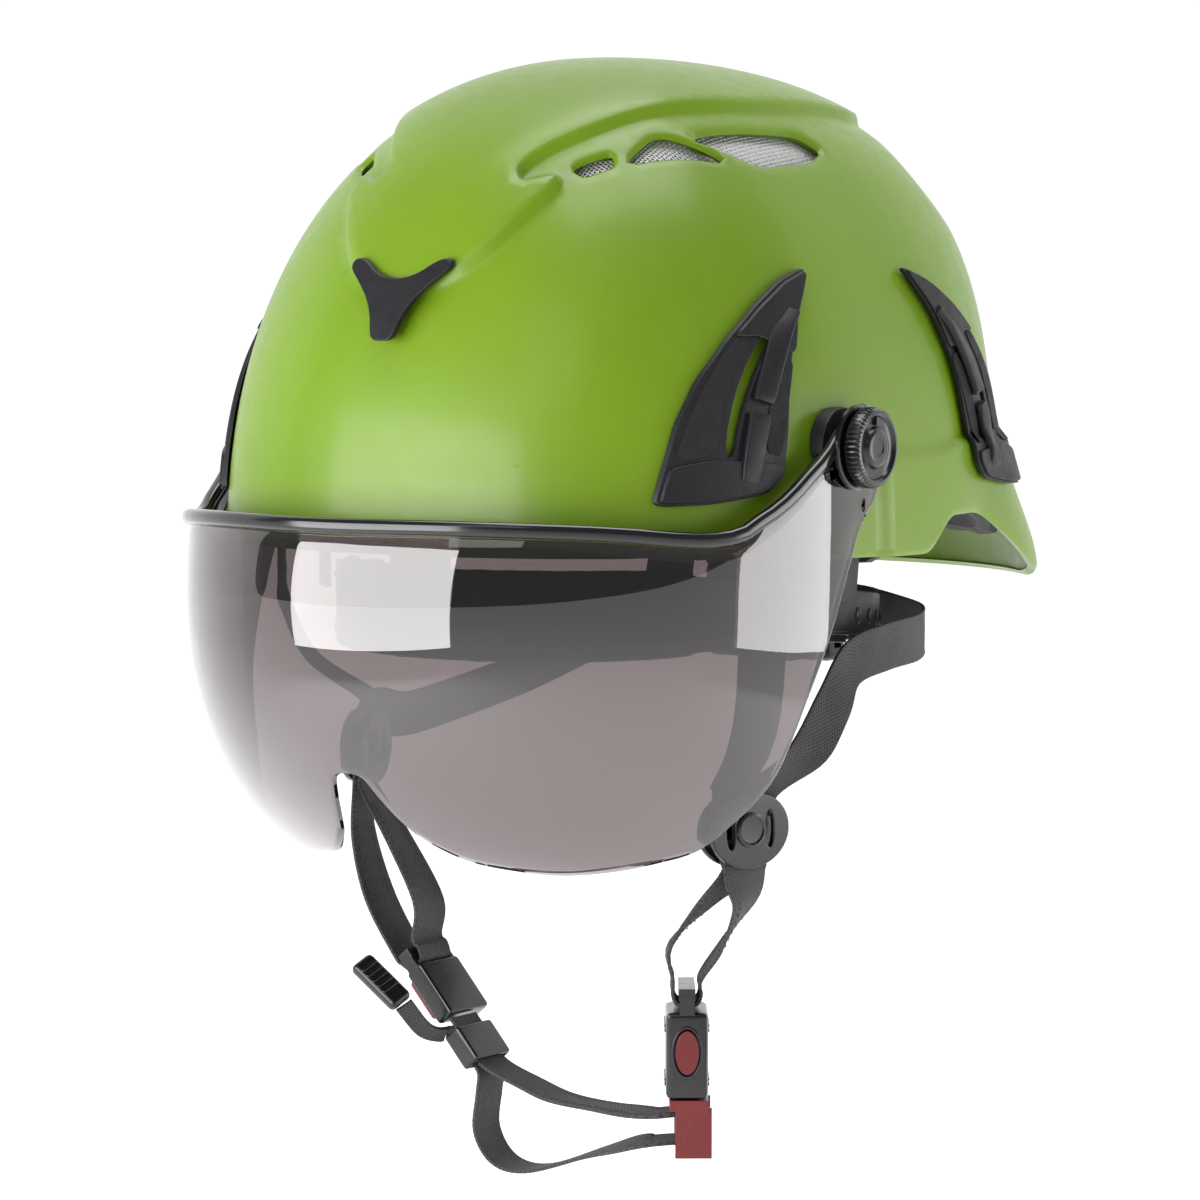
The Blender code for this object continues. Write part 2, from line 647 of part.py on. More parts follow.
for sign, tag in ((1, "left"), (-1, "right")):
    a = math.radians(44)
    out = Vector((sign * math.sin(a), -math.cos(a), 0))
    base = bandPoint(44, -2.4, 0)
    r = math.hypot(base.x, base.y)
    path = [out * r + Vector((0, 0, -9)), out * r + Vector((0, 0, 1)), out * (r + 6) + Vector((0, 0, 9)),
            out * (r + 13) + Vector((0, 0, 13.5))]
    ribbon("headband_hanger_" + tag, path, [Vector((-out.y, out.x, 0))] * 4, 14, 2.0, "black_nylon")

# ---- webbing: anchors, front and rear straps, dividers, lower loops ----

UP = Vector((0, 0, 1))
SIDES = {
    "left": {"sign": 1, "divider": Vector((74, -40, -84)), "out": Vector((0.94, -0.34, 0)).normalized(),
             "front": [(90.5, -56, -20), (85, -51, -46)],
             "steep": True,
             "rear": [(85.8, -22.5, -58), (88.5, -11, -43), (87.5, 2, -31), (87, 24, -27.5), (80.5, 54, -27),
                      (67, 80, -26), (48, 95, -24.5), (34, 100, -23), (26.2, 100.6, -23)]},
    "right": {"sign": -1, "divider": Vector((-80, -26, -64)), "out": Vector((-0.95, -0.31, 0)).normalized(),
              "front": [(-93, -52, -16), (-90, -42, -34)],
              "steep": False,
              "rear": [(-85.8, 4, -56.5), (-85, 36, -53), (-77, 64, -46), (-64, 84, -36), (-48, 95.5, -27), (-34, 100, -23),
                       (-26.2, 100.6, -23)]},
}


def strapThrough(name, stations, width, thick, kind, steps=3):
    # stations are (point, width direction); both are eased between stations
    pts = curvePath([p for p, s in stations], steps)
    dirs = curvePath([Vector(s).normalized() for p, s in stations], steps)
    return ribbon(name, pts, dirs, width, thick, kind)


def ovalPlate(name, centre, normal, low, high, ru, rv, kind, cutter=False, sides=24):
    normal = Vector(normal).normalized()
    u = UP.cross(normal).normalized()
    verts = []
    for h in (low, high):
        for i in range(sides):
            a = 2 * math.pi * i / sides
            verts.append(Vector(centre) + normal * h + u * ru * math.cos(a) + UP * rv * math.sin(a))
    faces = [tuple(range(sides)), tuple(range(2 * sides - 1, sides - 1, -1))]
    for i in range(sides):
        k = (i + 1) % sides
        faces.append((i, k, sides + k, sides + i))
    return addObject(name, verts, faces, kind, cutter=cutter)


for tag, s in SIDES.items():
    sign, d, n = s["sign"], s["divider"], s["out"]
    u = Vector((-n.y * sign, n.x * sign, 0))                   # along the head, towards the back
    a = math.radians(58)
    out = Vector((sign * math.sin(a), -math.cos(a), 0))
    spot = hitShell((0, 0, 6.5), out, 10.2)
    turn = Matrix.Rotation(math.atan2(out.y, out.x), 3, "Z")
    anchor = box("strap_anchor_" + tag, (spot.x, spot.y, 6.5), (8, 20, 8), "black_nylon", turn=turn)
    bevel(anchor, 1.2, 2)
    tangent = Vector((-out.y, out.x, 0)) * sign
    stations = [(Vector((spot.x, spot.y, 1.5)), tangent), (Vector((spot.x, spot.y, -6)), tangent)]
    stations += [(Vector(p), tangent.lerp(u, (k + 1) / 4)) for k, p in enumerate(s["front"])]
    stations += [(d - u * 3 + UP * 17 - n * 0.9, u), (d - u * 3 + UP * 12.5 - n * 1.1, u), (d - u * 3 + UP * 3.4 - n * 1.1, u)]
    strapThrough("front_strap_" + tag, stations, WEB_WIDTH, WEB_THICK, "webbing")
    lean = (UP - u * 0.55).normalized()
    if s["steep"]:
        # this one climbs beside the front strap, then turns back under the headband
        stations = [(d + u * 3 + UP * 5 + n * 1.1, u), (d + u * 6 + UP * 12.6 + n * 1.35, u)]
        turns = (0.2, 0.5, 0.85, 1, 1, 1, 1, 1, 1)
        stations += [(Vector(p), u * (1 - k) - UP * k) for p, k in zip(s["rear"], turns)]
    else:
        stations = [(d + u * 7 + UP * 6 + n * 1.1, lean), (d + u * 15 + UP * 10 + n * 1.1, lean)]
        stations += [(Vector(p), UP - u * 0.3) for p in s["rear"]]
    strapThrough("rear_strap_" + tag, stations, 15, WEB_THICK, "webbing")
    plate = ovalPlate("strap_divider_" + tag, d, n, 2.1, 4.1, 15, 12, "black_nylon")
    back = ovalPlate("add_divider_" + tag, d, n, -4.1, -2.1, 15, 12, "steel", cutter=True)
    boolean(plate, back, "UNION")
    post = box("add_post_" + tag, d - u * 11.3, (7.0, 3.4, 5.0), "steel", cutter=True,
               turn=Matrix((n, u, UP)).transposed())
    boolean(plate, post, "UNION")

# buckle frame: T across the webbing's thickness, W along its width
YAW_T = Vector((0.83, 0.56, 0)).normalized()
YAW_W = Vector((0.56, -0.83, 0)).normalized()
BUCKLE = Vector((55, -42, 0))
frameTurn = Matrix((YAW_T, YAW_W, UP)).transposed()


def atBuckle(t, w, z):
    return BUCKLE + YAW_T * t + YAW_W * w + UP * z


left = SIDES["left"]
d, n = left["divider"], left["out"]
u = Vector((-n.y, n.x, 0))
acr = -YAW_W
mid = u.lerp(acr, 0.5)
stations = [(d - UP * 3.2 - n * 1.1, u), (d - UP * 8 - n * 1.1, u), (d - UP * 13.5 - n * 1.2, u), (Vector((62, -42, -108)), mid),
            (Vector((50.5, -44.5, -122)), acr), (atBuckle(-4.3, 0, -131), acr), (atBuckle(-4.3, 0, -135.6), acr),
            (atBuckle(-2.6, 0, -138.6), acr), (atBuckle(2.6, 0, -138.6), acr), (atBuckle(4.3, 0, -135.6), acr),
            (atBuckle(4.3, 0, -131), acr), (Vector((64.5, -36.5, -121)), acr), (Vector((73.5, -37, -107)), mid),
            (d - UP * 13.5 + n * 1.2, u), (d - UP * 8 + n * 1.1, u), (d - UP * 3.2 + n * 1.1, u)]
strapThrough("lower_loop_left", stations, WEB_WIDTH, WEB_THICK, "webbing", steps=2)

buckle = box("buckle_housing", atBuckle(0, 0, -153.7), (13, 24, 26.6), "black_nylon", turn=frameTurn)
bevel(buckle, 1.6, 2)
top = box("add_buckle_bar", atBuckle(0, 0, -134.8), (5, 23.4, 3.6), "steel", turn=frameTurn, cutter=True)
boolean(buckle, top, "UNION")
for w in (-10.9, 10.9):
    cheek = box("add_buckle_cheek_%d" % (w > 0), atBuckle(0, w * 0.985, -138.4), (4.5, 2.0, 5.6), "steel", turn=frameTurn,
                cutter=True)
    boolean(buckle, cheek, "UNION")
pocket = box("cut_buckle_pocket", atBuckle(0, 0, -162.5), (8.0, 14.0, 16), "steel", turn=frameTurn, cutter=True)
boolean(buckle, pocket)
for w, tag in ((1, "front"), (-1, "back")):
    cut = ovalPlate("cut_button_" + tag, atBuckle(0, 0, -152.5), YAW_W * w, 8.0, 13.0, 4.0, 7.2, "steel", cutter=True)
    boolean(buckle, cut)
    ovalPlate("buckle_button_" + tag, atBuckle(0, 0, -152.5), YAW_W * w, 10.3, 13.0, 3.6, 6.8, "red_plastic")

tongue = box("buckle_tongue", atBuckle(0.6, 0, -169.2), (12, 23, 3.4), "red_plastic", turn=frameTurn)
prong = box("add_prong", atBuckle(0, 0, -164.0), (4.4, 12.0, 9.5), "steel", turn=frameTurn, cutter=True)
boolean(tongue, prong, "UNION")
for w in (-10.4, 10.4):
    cheek = box("add_tongue_cheek_%d" % (w > 0), atBuckle(2.0, w, -177.6), (11.2, 1.9, 15.6), "steel", turn=frameTurn,
                cutter=True)
    boolean(tongue, cheek, "UNION")
bar = drum("add_tongue_bar", [(0, -10.0), (2.0, -10.0), (2.0, 10.0), (0, 10.0)], atBuckle(2.0, 0, -177.2), YAW_W,
           "steel", sides=16, cutter=True)
boolean(tongue, bar, "UNION")

# adjuster frame on the wearer's right: D along it, T its face
AXIS = Vector((0.65, 0, -0.76)).normalized()
FACE = Vector((0.76, 0, 0.65)).normalized()
WIDE = Vector((0, -1, 0))
ADJUST = Vector((-45.5, -31, -138))
adjTurn = Matrix((FACE, WIDE, AXIS)).transposed()


def atAdjust(t, w, a):
    return ADJUST + FACE * t + WIDE * w + AXIS * a


right = SIDES["right"]
d, n = right["divider"], right["out"]
u = Vector((n.y, -n.x, 0))
acr = -WIDE
mid = u.lerp(acr, 0.5)
stations = [(d - UP * 3.2 - n * 1.1, u), (d - UP * 8 - n * 1.1, u), (d - UP * 13.5 - n * 1.3, u), (Vector((-66, -28, -92)), mid),
            (Vector((-52, -30, -112)), acr), (atAdjust(4.5, 0, -15), acr), (atAdjust(4.4, 0, -11.5), acr),
            (atAdjust(2.6, 0, -8.0), acr), (atAdjust(-2.6, 0, -8.0), acr), (atAdjust(-4.4, 0, -11.5), acr),
            (atAdjust(-5.0, 0, -15), acr), (Vector((-71, -30, -113)), acr), (Vector((-79, -28, -94)), mid),
            (d - UP * 13.5 + n * 1.3, u), (d - UP * 8 + n * 1.1, u), (d - UP * 3.2 + n * 1.1, u)]
strapThrough("lower_loop_right", stations, WEB_WIDTH, WEB_THICK, "webbing", steps=2)
adjuster = box("strap_adjuster", atAdjust(0, 0, 3.2), (7, 21, 20), "black_nylon", turn=adjTurn)
bevel(adjuster, 1.2, 2)
top = box("add_adjust_bar", atAdjust(0, 0, -11.6), (4.6, 20.4, 3.2), "steel", turn=adjTurn, cutter=True)
boolean(adjuster, top, "UNION")
for w in (-9.5, 9.5):
    cheek = box("add_adjust_cheek_%d" % (w > 0), atAdjust(0, w, -8.4), (4.1, 1.7, 5), "steel", turn=adjTurn,
                cutter=True)
    boolean(adjuster, cheek, "UNION")
lever = box("release_lever", atAdjust(-6.0, 0, 2.0), (3.4, 13, 15), "red_plastic", turn=adjTurn,
            origin=atAdjust(-6.0, 0, -5.5))
bevel(lever, 1.4, 2)

# keeper, chin strap, tail and pull tab
KEEP = Vector((-29.6, -34, -156.4))


def atKeeper(t, w, a):
    return KEEP + FACE * t + WIDE * w + AXIS * a


keeper = box("strap_keeper", KEEP, (6.8, 19, 13), "black_nylon", turn=adjTurn)
bevel(keeper, 1.2, 2)
bore = box("cut_keeper", KEEP, (4.8, 16, 20), "steel", turn=adjTurn, cutter=True)
boolean(keeper, bore)
bw = YAW_W * -1
half = acr.lerp(bw, 0.5)
stations = [(atAdjust(1.2, 3, 13.9), acr), (atKeeper(1.2, 0, -8), acr), (atKeeper(1.2, 0, 0), acr),
            (atKeeper(1.3, 0, 8), acr), (Vector((-9, -36, -166.5)), acr), (Vector((6, -38, -171.5)), acr),
            (Vector((26, -42, -174)), half), (atBuckle(-12, 0, -173.4), bw), (atBuckle(-4, 0, -172.9), bw),
            (atBuckle(2.0, 0, -172.7), bw), (atBuckle(5.4, 0, -174.2), bw), (atBuckle(6.6, 0, -177.2), bw),
            (atBuckle(5.4, 0, -180.2), bw), (atBuckle(2.0, 0, -181.7), bw), (atBuckle(-4, 0, -181.5), bw),
            (atBuckle(-14, 0, -182.5), bw), (Vector((20, -40, -188.5)), half), (Vector((-4, -37, -194)), acr),
            (Vector((-18, -36, -192)), acr), (Vector((-25.5, -35, -183)), acr), (Vector((-24.5, -35, -171)), acr),
            (atKeeper(-1.3, 0, 9), acr), (atKeeper(-1.2, 0, 1.0), acr)]
strapThrough("chin_strap", stations, 14, WEB_THICK, "webbing", steps=2)
TAB_START = Vector((-42.5, -56, -142))
stations = [(atAdjust(-1.4, 3, 17.4), acr), (atAdjust(-2.6, 3.4, 16.1), acr), (atAdjust(-5.4, 8.5, 15.6), (0.6, 1, 0.3)),
            (atAdjust(-5.2, 16, 12.5), (0.8, 0.6, 0.3)), (TAB_START, (0.6, 0.8, 0.1))]
strapThrough("strap_tail", stations, 6, 1.4, "webbing")
tabWay = (Vector((-53, -58, -133)) - TAB_START).normalized()
tabUp = Vector((0.5, 0.8, 0.1))
tabUp = (tabUp - tabWay * tabUp.dot(tabWay)).normalized()
tabTurn = Matrix((tabWay, tabUp, tabWay.cross(tabUp))).transposed()
tab = box("pull_tab", TAB_START + tabWay * 10.6, (20, 9, 4.4), "black_nylon", turn=tabTurn)
bevel(tab, 1.6, 2)

# ---- the buckle side hangs a little higher than its drawn place ----

RAISED = ["front_strap_left", "rear_strap_left", "strap_divider_left", "lower_loop_left", "buckle_housing",
          "buckle_button_front", "buckle_button_back", "buckle_tongue", "chin_strap"]
raised = [bpy.data.objects[name] for name in RAISED]
raised += [m.object for ob in list(raised) for m in ob.modifiers if m.type == "BOOLEAN"]
for ob in raised:
    for v in ob.data.vertices:
        p = (v.co + ob.location) / MM
        v.co.z += 5.0 * MM * smooth(-p.z, 55, 76) * smooth(p.x, -20, 40)
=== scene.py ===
# Forestry helmet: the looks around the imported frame. Sizes are in millimetres unless a note says metres.
import math

import bmesh
import bpy
import numpy as np
from mathutils import Matrix, Vector
from mathutils.geometry import delaunay_2d_cdt


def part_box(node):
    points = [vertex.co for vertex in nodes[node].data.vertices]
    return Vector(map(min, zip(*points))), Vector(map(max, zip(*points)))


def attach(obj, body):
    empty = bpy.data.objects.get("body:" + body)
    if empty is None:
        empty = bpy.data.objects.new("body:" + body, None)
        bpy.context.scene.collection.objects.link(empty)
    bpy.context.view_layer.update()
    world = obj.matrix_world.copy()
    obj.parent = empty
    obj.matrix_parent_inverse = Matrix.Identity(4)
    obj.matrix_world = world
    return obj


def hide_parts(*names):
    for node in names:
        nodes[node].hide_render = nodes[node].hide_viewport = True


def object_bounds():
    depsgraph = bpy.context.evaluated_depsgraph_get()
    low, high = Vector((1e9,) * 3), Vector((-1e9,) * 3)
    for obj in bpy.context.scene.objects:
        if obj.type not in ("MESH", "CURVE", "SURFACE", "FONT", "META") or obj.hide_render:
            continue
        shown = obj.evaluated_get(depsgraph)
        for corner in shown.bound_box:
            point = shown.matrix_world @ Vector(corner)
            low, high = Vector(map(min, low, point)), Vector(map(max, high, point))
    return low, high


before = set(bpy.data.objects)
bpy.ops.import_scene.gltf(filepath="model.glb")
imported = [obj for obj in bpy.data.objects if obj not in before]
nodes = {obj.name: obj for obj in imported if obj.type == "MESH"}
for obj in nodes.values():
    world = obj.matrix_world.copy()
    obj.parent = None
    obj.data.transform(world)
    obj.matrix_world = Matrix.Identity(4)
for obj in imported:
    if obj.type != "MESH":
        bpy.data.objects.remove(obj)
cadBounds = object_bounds()
mm = 0.001
up = Vector((0, 0, 1))
bothSides = ((1, "left"), (-1, "right"))


def smooth(x, a, b):
    t = min(max((x - a) / (b - a), 0.0), 1.0)
    return t * t * (3 - 2 * t)


def middle(node):
    lo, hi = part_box(node)
    return (Vector(lo) + Vector(hi)) / 2 / mm


def link(name, data, material=None):
    if material:
        data.materials.append(material)
    ob = bpy.data.objects.new(name, data)
    bpy.context.scene.collection.objects.link(ob)
    return ob


def makeMesh(name, verts, faces, material, sharp=None):
    mesh = bpy.data.meshes.new(name)
    mesh.from_pydata([Vector(v) * mm for v in verts], [], faces)
    mesh.validate()
    bm = bmesh.new()
    bm.from_mesh(mesh)
    bmesh.ops.remove_doubles(bm, verts=bm.verts, dist=0.000002)
    bmesh.ops.recalc_face_normals(bm, faces=bm.faces)
    if sharp is not None:
        for e in bm.edges:
            if len(e.link_faces) == 2 and e.calc_face_angle(0) > math.radians(sharp):
                e.smooth = False
    bm.to_mesh(mesh)
    bm.free()
    mesh.shade_smooth()
    if sharp is not None:
        mesh.set_sharp_from_angle(angle=math.radians(sharp))
    return link(name, mesh, material)


def ellipse(cx, cy, rx, ry, count):
    turns = [2 * math.pi * k / count for k in range(count)]
    return [(cx + rx * math.cos(a), cy + ry * math.sin(a)) for a in turns]


def outward(angle):
    # level direction at an angle from the front, in degrees, positive to the wearer's left
    a = math.radians(angle)
    return Vector((math.sin(a), -math.cos(a), 0))


def bevelled(ob, width, segments, angle):
    m = ob.modifiers.new("edge", "BEVEL")
    m.width = width * mm
    m.segments = segments
    m.limit_method = "ANGLE"
    m.angle_limit = math.radians(angle)
    m.harden_normals = True
    return ob


def joinAll(name, obs):
    # bakes modifiers and joins several objects into one piece
    deps = bpy.context.evaluated_depsgraph_get()
    bm = bmesh.new()
    mats = []
    for ob in obs:
        ev = ob.evaluated_get(deps)
        me = bpy.data.meshes.new_from_object(ev, depsgraph=deps)
        me.transform(ob.matrix_world)
        shift = []
        for m in me.materials:
            if m not in mats:
                mats.append(m)
            shift.append(mats.index(m))
        start = len(bm.faces)
        bm.from_mesh(me)
        bm.faces.ensure_lookup_table()
        for f in bm.faces[start:]:
            f.material_index = shift[f.material_index] if shift else 0
    mesh = bpy.data.meshes.new(name)
    bm.to_mesh(mesh)
    bm.free()
    for m in mats:
        mesh.materials.append(m)
    for ob in obs:
        bpy.data.objects.remove(ob, do_unlink=True)
    return link(name, mesh)


def applied(ob):
    name = ob.name
    ob.name = name + "_raw"
    return joinAll(name, [ob])


def done(ob, body, slotName, *old):
    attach(ob, body)
    if old:
        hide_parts(*old)
    return ob


def cut(ob, cutter):
    m = ob.modifiers.new("cut", "BOOLEAN")
    m.operation = "DIFFERENCE"
    m.solver = "EXACT"
    m.object = cutter
    bpy.context.view_layer.update()
    out = applied(ob)
    bpy.data.objects.remove(cutter, do_unlink=True)
    return out


def curvePath(points, steps=6):
    pts = [Vector(p) for p in points]
    out = []
    for i in range(len(pts) - 1):
        p0, p1 = pts[max(i - 1, 0)], pts[i]
        p2, p3 = pts[i + 1], pts[min(i + 2, len(pts) - 1)]
        for s in range(steps):
            t = s / steps
            out.append(0.5 * ((2 * p1) + (p2 - p0) * t + (2 * p0 - 5 * p1 + 4 * p2 - p3) * t * t
                              + (3 * p1 - p0 - 3 * p2 + p3) * t ** 3))
    out.append(pts[-1])
    return out


def newMaterial(name, colour, rough, **more):
    # a Principled material; more names other inputs with _ for a space
    m = bpy.data.materials.new(name)
    m.use_nodes = True
    shader = m.node_tree.nodes["Principled BSDF"]
    shader.inputs["Base Color"].default_value = (*colour, 1)
    shader.inputs["Roughness"].default_value = rough
    setValues(shader, more)
    return m, m.node_tree, shader


def setValues(node, values):
    for key, value in values.items():
        node.inputs[key.replace("_", " ")].default_value = value


def addNode(tree, kind, values=None, links=None):
    n = tree.nodes.new("ShaderNode" + kind)
    setValues(n, values or {})
    for key, source in (links or {}).items():
        tree.links.new(source, n.inputs[key])
    return n


def objectCoords(tree):
    c = addNode(tree, "TexCoord")
    return addNode(tree, "Mapping", links={"Vector": c.outputs["Object"]}).outputs["Vector"]


def noiseTone(tree, vec, scale, low, high, detail=4.0):
    n = addNode(tree, "TexNoise", {"Scale": scale, "Detail": detail}, {"Vector": vec})
    r = addNode(tree, "MapRange", {"From_Min": 0.3, "From_Max": 0.7, "To_Min": low, "To_Max": high},
                {"Value": n.outputs["Fac"]})
    return r.outputs["Result"]


def mixColour(tree, factor, a, b, shader):
    # b over a by the factor; a is a colour or another mix's output
    m = tree.nodes.new("ShaderNodeMix")
    m.data_type = "RGBA"
    if isinstance(a, tuple):
        m.inputs["A"].default_value = (*a, 1)
    else:
        tree.links.new(a, m.inputs["A"])
    m.inputs["B"].default_value = (*b, 1)
    tree.links.new(factor, m.inputs["Factor"])
    tree.links.new(m.outputs["Result"], shader.inputs["Base Color"])
    return m.outputs["Result"]


def addBump(tree, height, shader, strength, distance):
    b = addNode(tree, "Bump", {"Strength": strength, "Distance": distance}, {"Height": height})
    tree.links.new(b.outputs["Normal"], shader.inputs["Normal"])


def plasticMaterial(name, dark, light, rough, grainScale, grain, coat=0.0, wear=0.0, **more):
    # moulded plastic: slow colour drift, fine spark grain, scuffed roughness, paler convex edges
    m, t, s = newMaterial(name, light, rough[0], Coat_Weight=coat, Coat_Roughness=0.15,
                          Specular_IOR_Level=0.38, **more)
    v = objectCoords(t)
    mix = mixColour(t, noiseTone(t, v, 14, 0.0, 1.0), dark, light, s)
    t.links.new(noiseTone(t, v, 180, *rough, 6.0), s.inputs["Roughness"])
    spark = addNode(t, "TexNoise", {"Scale": grainScale, "Detail": 2.0}, {"Vector": v})
    addBump(t, spark.outputs["Fac"], s, grain, 0.0003)
    if wear > 0:
        g = addNode(t, "NewGeometry")
        r = addNode(t, "MapRange", {"From_Min": 0.52, "From_Max": 0.60, "To_Max": wear},
                    {"Value": g.outputs["Pointiness"]})
        mixColour(t, r.outputs["Result"], mix, tuple(min(1, c * 2.0 + 0.012) for c in light), s)
    return m


def webbingMaterial(name, dark, light):
    # woven polyester strap, from the strap's own UVs: u across in metres, v along in metres
    m, t, s = newMaterial(name, dark, 0.72, Sheen_Weight=0.08, Sheen_Roughness=0.4)
    c = addNode(t, "UVMap")
    c.uv_map = "weave"
    twill = []
    for lean in (0.62, -0.62):
        p = addNode(t, "Mapping", {"Rotation": (0, 0, lean)}, {"Vector": c.outputs["UV"]})
        w = addNode(t, "TexWave", {"Scale": 300, "Distortion": 0.4, "Detail": 1.0},
                    {"Vector": p.outputs["Vector"]})
        twill.append(w.outputs["Fac"])

    def maths(operation, a, b):
        k = t.nodes.new("ShaderNodeMath")
        k.operation = operation
        t.links.new(a, k.inputs[0])
        t.links.new(b, k.inputs[1])
        return k.outputs[0]
    yarn = maths("MAXIMUM", *twill)
    tone = noiseTone(t, objectCoords(t), 60, 0.35, 1.0)
    mixColour(t, maths("MULTIPLY", yarn, tone), dark, light, s)
    addBump(t, yarn, s, 0.55, 0.0005)
    return m


def fabricMaterial(name, dark, light):
    # brushed pad textile with a fine knit
    m, t, s = newMaterial(name, dark, 0.9, Sheen_Weight=0.15)
    v = objectCoords(t)
    knit = addNode(t, "TexVoronoi", {"Scale": 900}, {"Vector": v})
    mixColour(t, noiseTone(t, v, 120, 0.0, 1.0), dark, light, s)
    addBump(t, knit.outputs["Distance"], s, 0.5, 0.0006)
    return m


def smoothMaterial(name, colour, scale, low, high, **more):
    # one clean colour whose roughness drifts a little
    m, t, s = newMaterial(name, colour, low, **more)
    t.links.new(noiseTone(t, objectCoords(t), scale, low, high), s.inputs["Roughness"])
    return m


mats = {
    "green": plasticMaterial("helmetGreen", (0.132, 0.238, 0.006), (0.146, 0.257, 0.007), (0.33, 0.42), 1800,
                             0.035, 0.15),
    "black": plasticMaterial("blackNylon", (0.005, 0.005, 0.007), (0.008, 0.008, 0.011), (0.42, 0.55), 1400,
                             0.25, wear=0.35),
    "fineBlack": plasticMaterial("smoothBlack", (0.004, 0.004, 0.005), (0.007, 0.007, 0.008), (0.22, 0.32),
                                 2600, 0.05, 0.4, 0.25),
    "gloss": plasticMaterial("glossBlack", (0.003, 0.003, 0.004), (0.006, 0.006, 0.007), (0.12, 0.2), 2600,
                             0.02, 0.6),
    "grainy": plasticMaterial("grainedNylon", (0.005, 0.005, 0.006), (0.009, 0.009, 0.011), (0.6, 0.8), 900,
                              0.9),
    "red": plasticMaterial("releaseRed", (0.105, 0.002, 0.003), (0.15, 0.003, 0.004), (0.25, 0.36), 2400,
                           0.05, 0.3, 0.1),
    "foam": plasticMaterial("linerFoam", (0.05, 0.05, 0.052), (0.075, 0.075, 0.08), (0.75, 0.9), 420, 0.6),
    "steel": plasticMaterial("platedSteel", (0.42, 0.42, 0.44), (0.52, 0.52, 0.54), (0.22, 0.38), 900, 0.03,
                             Metallic=1.0),
    "thread": plasticMaterial("sewingThread", (0.05, 0.045, 0.05), (0.10, 0.09, 0.10), (0.6, 0.8), 900, 0.2),
    "web": webbingMaterial("strapWebbing", (0.016, 0.014, 0.017), (0.065, 0.058, 0.066)),
    "pad": fabricMaterial("padTextile", (0.012, 0.012, 0.013), (0.03, 0.03, 0.033)),
    "wire": smoothMaterial("meshSteel", (0.66, 0.66, 0.66), 900, 0.22, 0.45, Metallic=0.35),
    # smoke polycarbonate with a light mirror
    "lens": smoothMaterial("smokeLens", (0.150, 0.114, 0.117), 40, 0.0, 0.03, Transmission_Weight=1.0,
                           IOR=1.35, Coat_Weight=1.0, Coat_IOR=1.68, Coat_Roughness=0.01),
}

shellForm = {"halfWidth": 107.5, "front": 129.0, "rear": 134.0, "crown": 154.0, "wall": 3.2, "panelRise": 3.2,
             "flare": 15.0, "skirt": 2.3}


def softMin(a, b, k):
    h = min(max(0.5 + 0.5 * (b - a) / k, 0.0), 1.0)
    return b * (1 - h) + a * h - k * h * (1 - h)


def shellRadius(d):
    f = shellForm
    dx, dy, dz = d
    reach = f["front"] if dy < 0 else f["rear"]
    plan = (abs(dx / f["halfWidth"]) ** 2.4 + abs(dy / reach) ** 2.4) ** (1 / 2.4)
    power = 2.25 + 0.9 * smooth(dy, -0.2, 0.9)
    r = 1 / (plan ** power + (max(dz, 0) / f["crown"]) ** power) ** (1 / power)
    w = smooth(dy, -0.1, 0.25)
    slope = 237 / max(dz + 1.10 * math.hypot(1.18 * dx, dy), 0.01)
    return r * (1 - w) + softMin(r, slope, 1.2) * w


def rimHeight(angle):
    return 7 - 3.5 * smooth(angle, 30, 95) + 11 * smooth(angle, 95, 106) - 25 * smooth(angle, 112, 144)


def ledgeHeight(angle):
    # step along the side, from behind the visor bracket towards the back
    return 35 + 3 * smooth(angle, 97, 112)


def bodyPoint(d):
    # point of the plain body (no panel or vents) in direction d
    r = shellRadius(d)
    p = d * r
    turn = math.degrees(math.atan2(abs(d.x), -d.y))
    flare = shellForm["flare"] * smooth(turn, 114, 144) * (1 - smooth(p.z - rimHeight(turn), 0, 45))
    ledge = ledgeHeight(turn)
    skirt = shellForm["skirt"] * smooth(turn, 81, 85) * (1 - smooth(p.z, ledge - 1.6, ledge + 0.6))
    skirt *= 1 - smooth(turn, 137, 143)
    flat = Vector((d.x, d.y, 0))
    flat.normalize()
    return p + flat * (flare + skirt)


def hitShell(p, d, lift=0.0):
    d = Vector(d).normalized()
    p = Vector(p)
    lo, hi = 0.0, 200.0
    for _ in range(36):
        mid = (lo + hi) / 2
        q = p + d * mid
        if q.length < bodyPoint(q.normalized()).length:
            lo = mid
        else:
            hi = mid
    return p + d * (lo + lift)


def rounded(outline, times=2, keep=0.25):
    pts = [Vector(p) for p in outline]
    for _ in range(times):
        pts = [a.lerp(b, k) for a, b in zip(pts, pts[1:] + pts[:1]) for k in (keep, 1 - keep)]
    return pts


def resampled(pts, step):
    out = []
    for a, b in zip(pts, pts[1:] + pts[:1]):
        n = max(int((b - a).length / step), 1)
        out += [a.lerp(b, k / n) for k in range(n)]
    return out


def offsetLoop(pts, dist):
    # moves a closed loop outward by dist (counter clockwise loops)
    out = []
    n = len(pts)
    for i in range(n):
        t = (pts[(i + 1) % n] - pts[i - 1]).normalized()
        out.append(pts[i] + Vector((t.y, -t.x)) * dist)
    return out


def counterClockwise(pts):
    area = sum(a.x * b.y - b.x * a.y for a, b in zip(pts, pts[1:] + pts[:1]))
    return pts if area > 0 else list(reversed(pts))


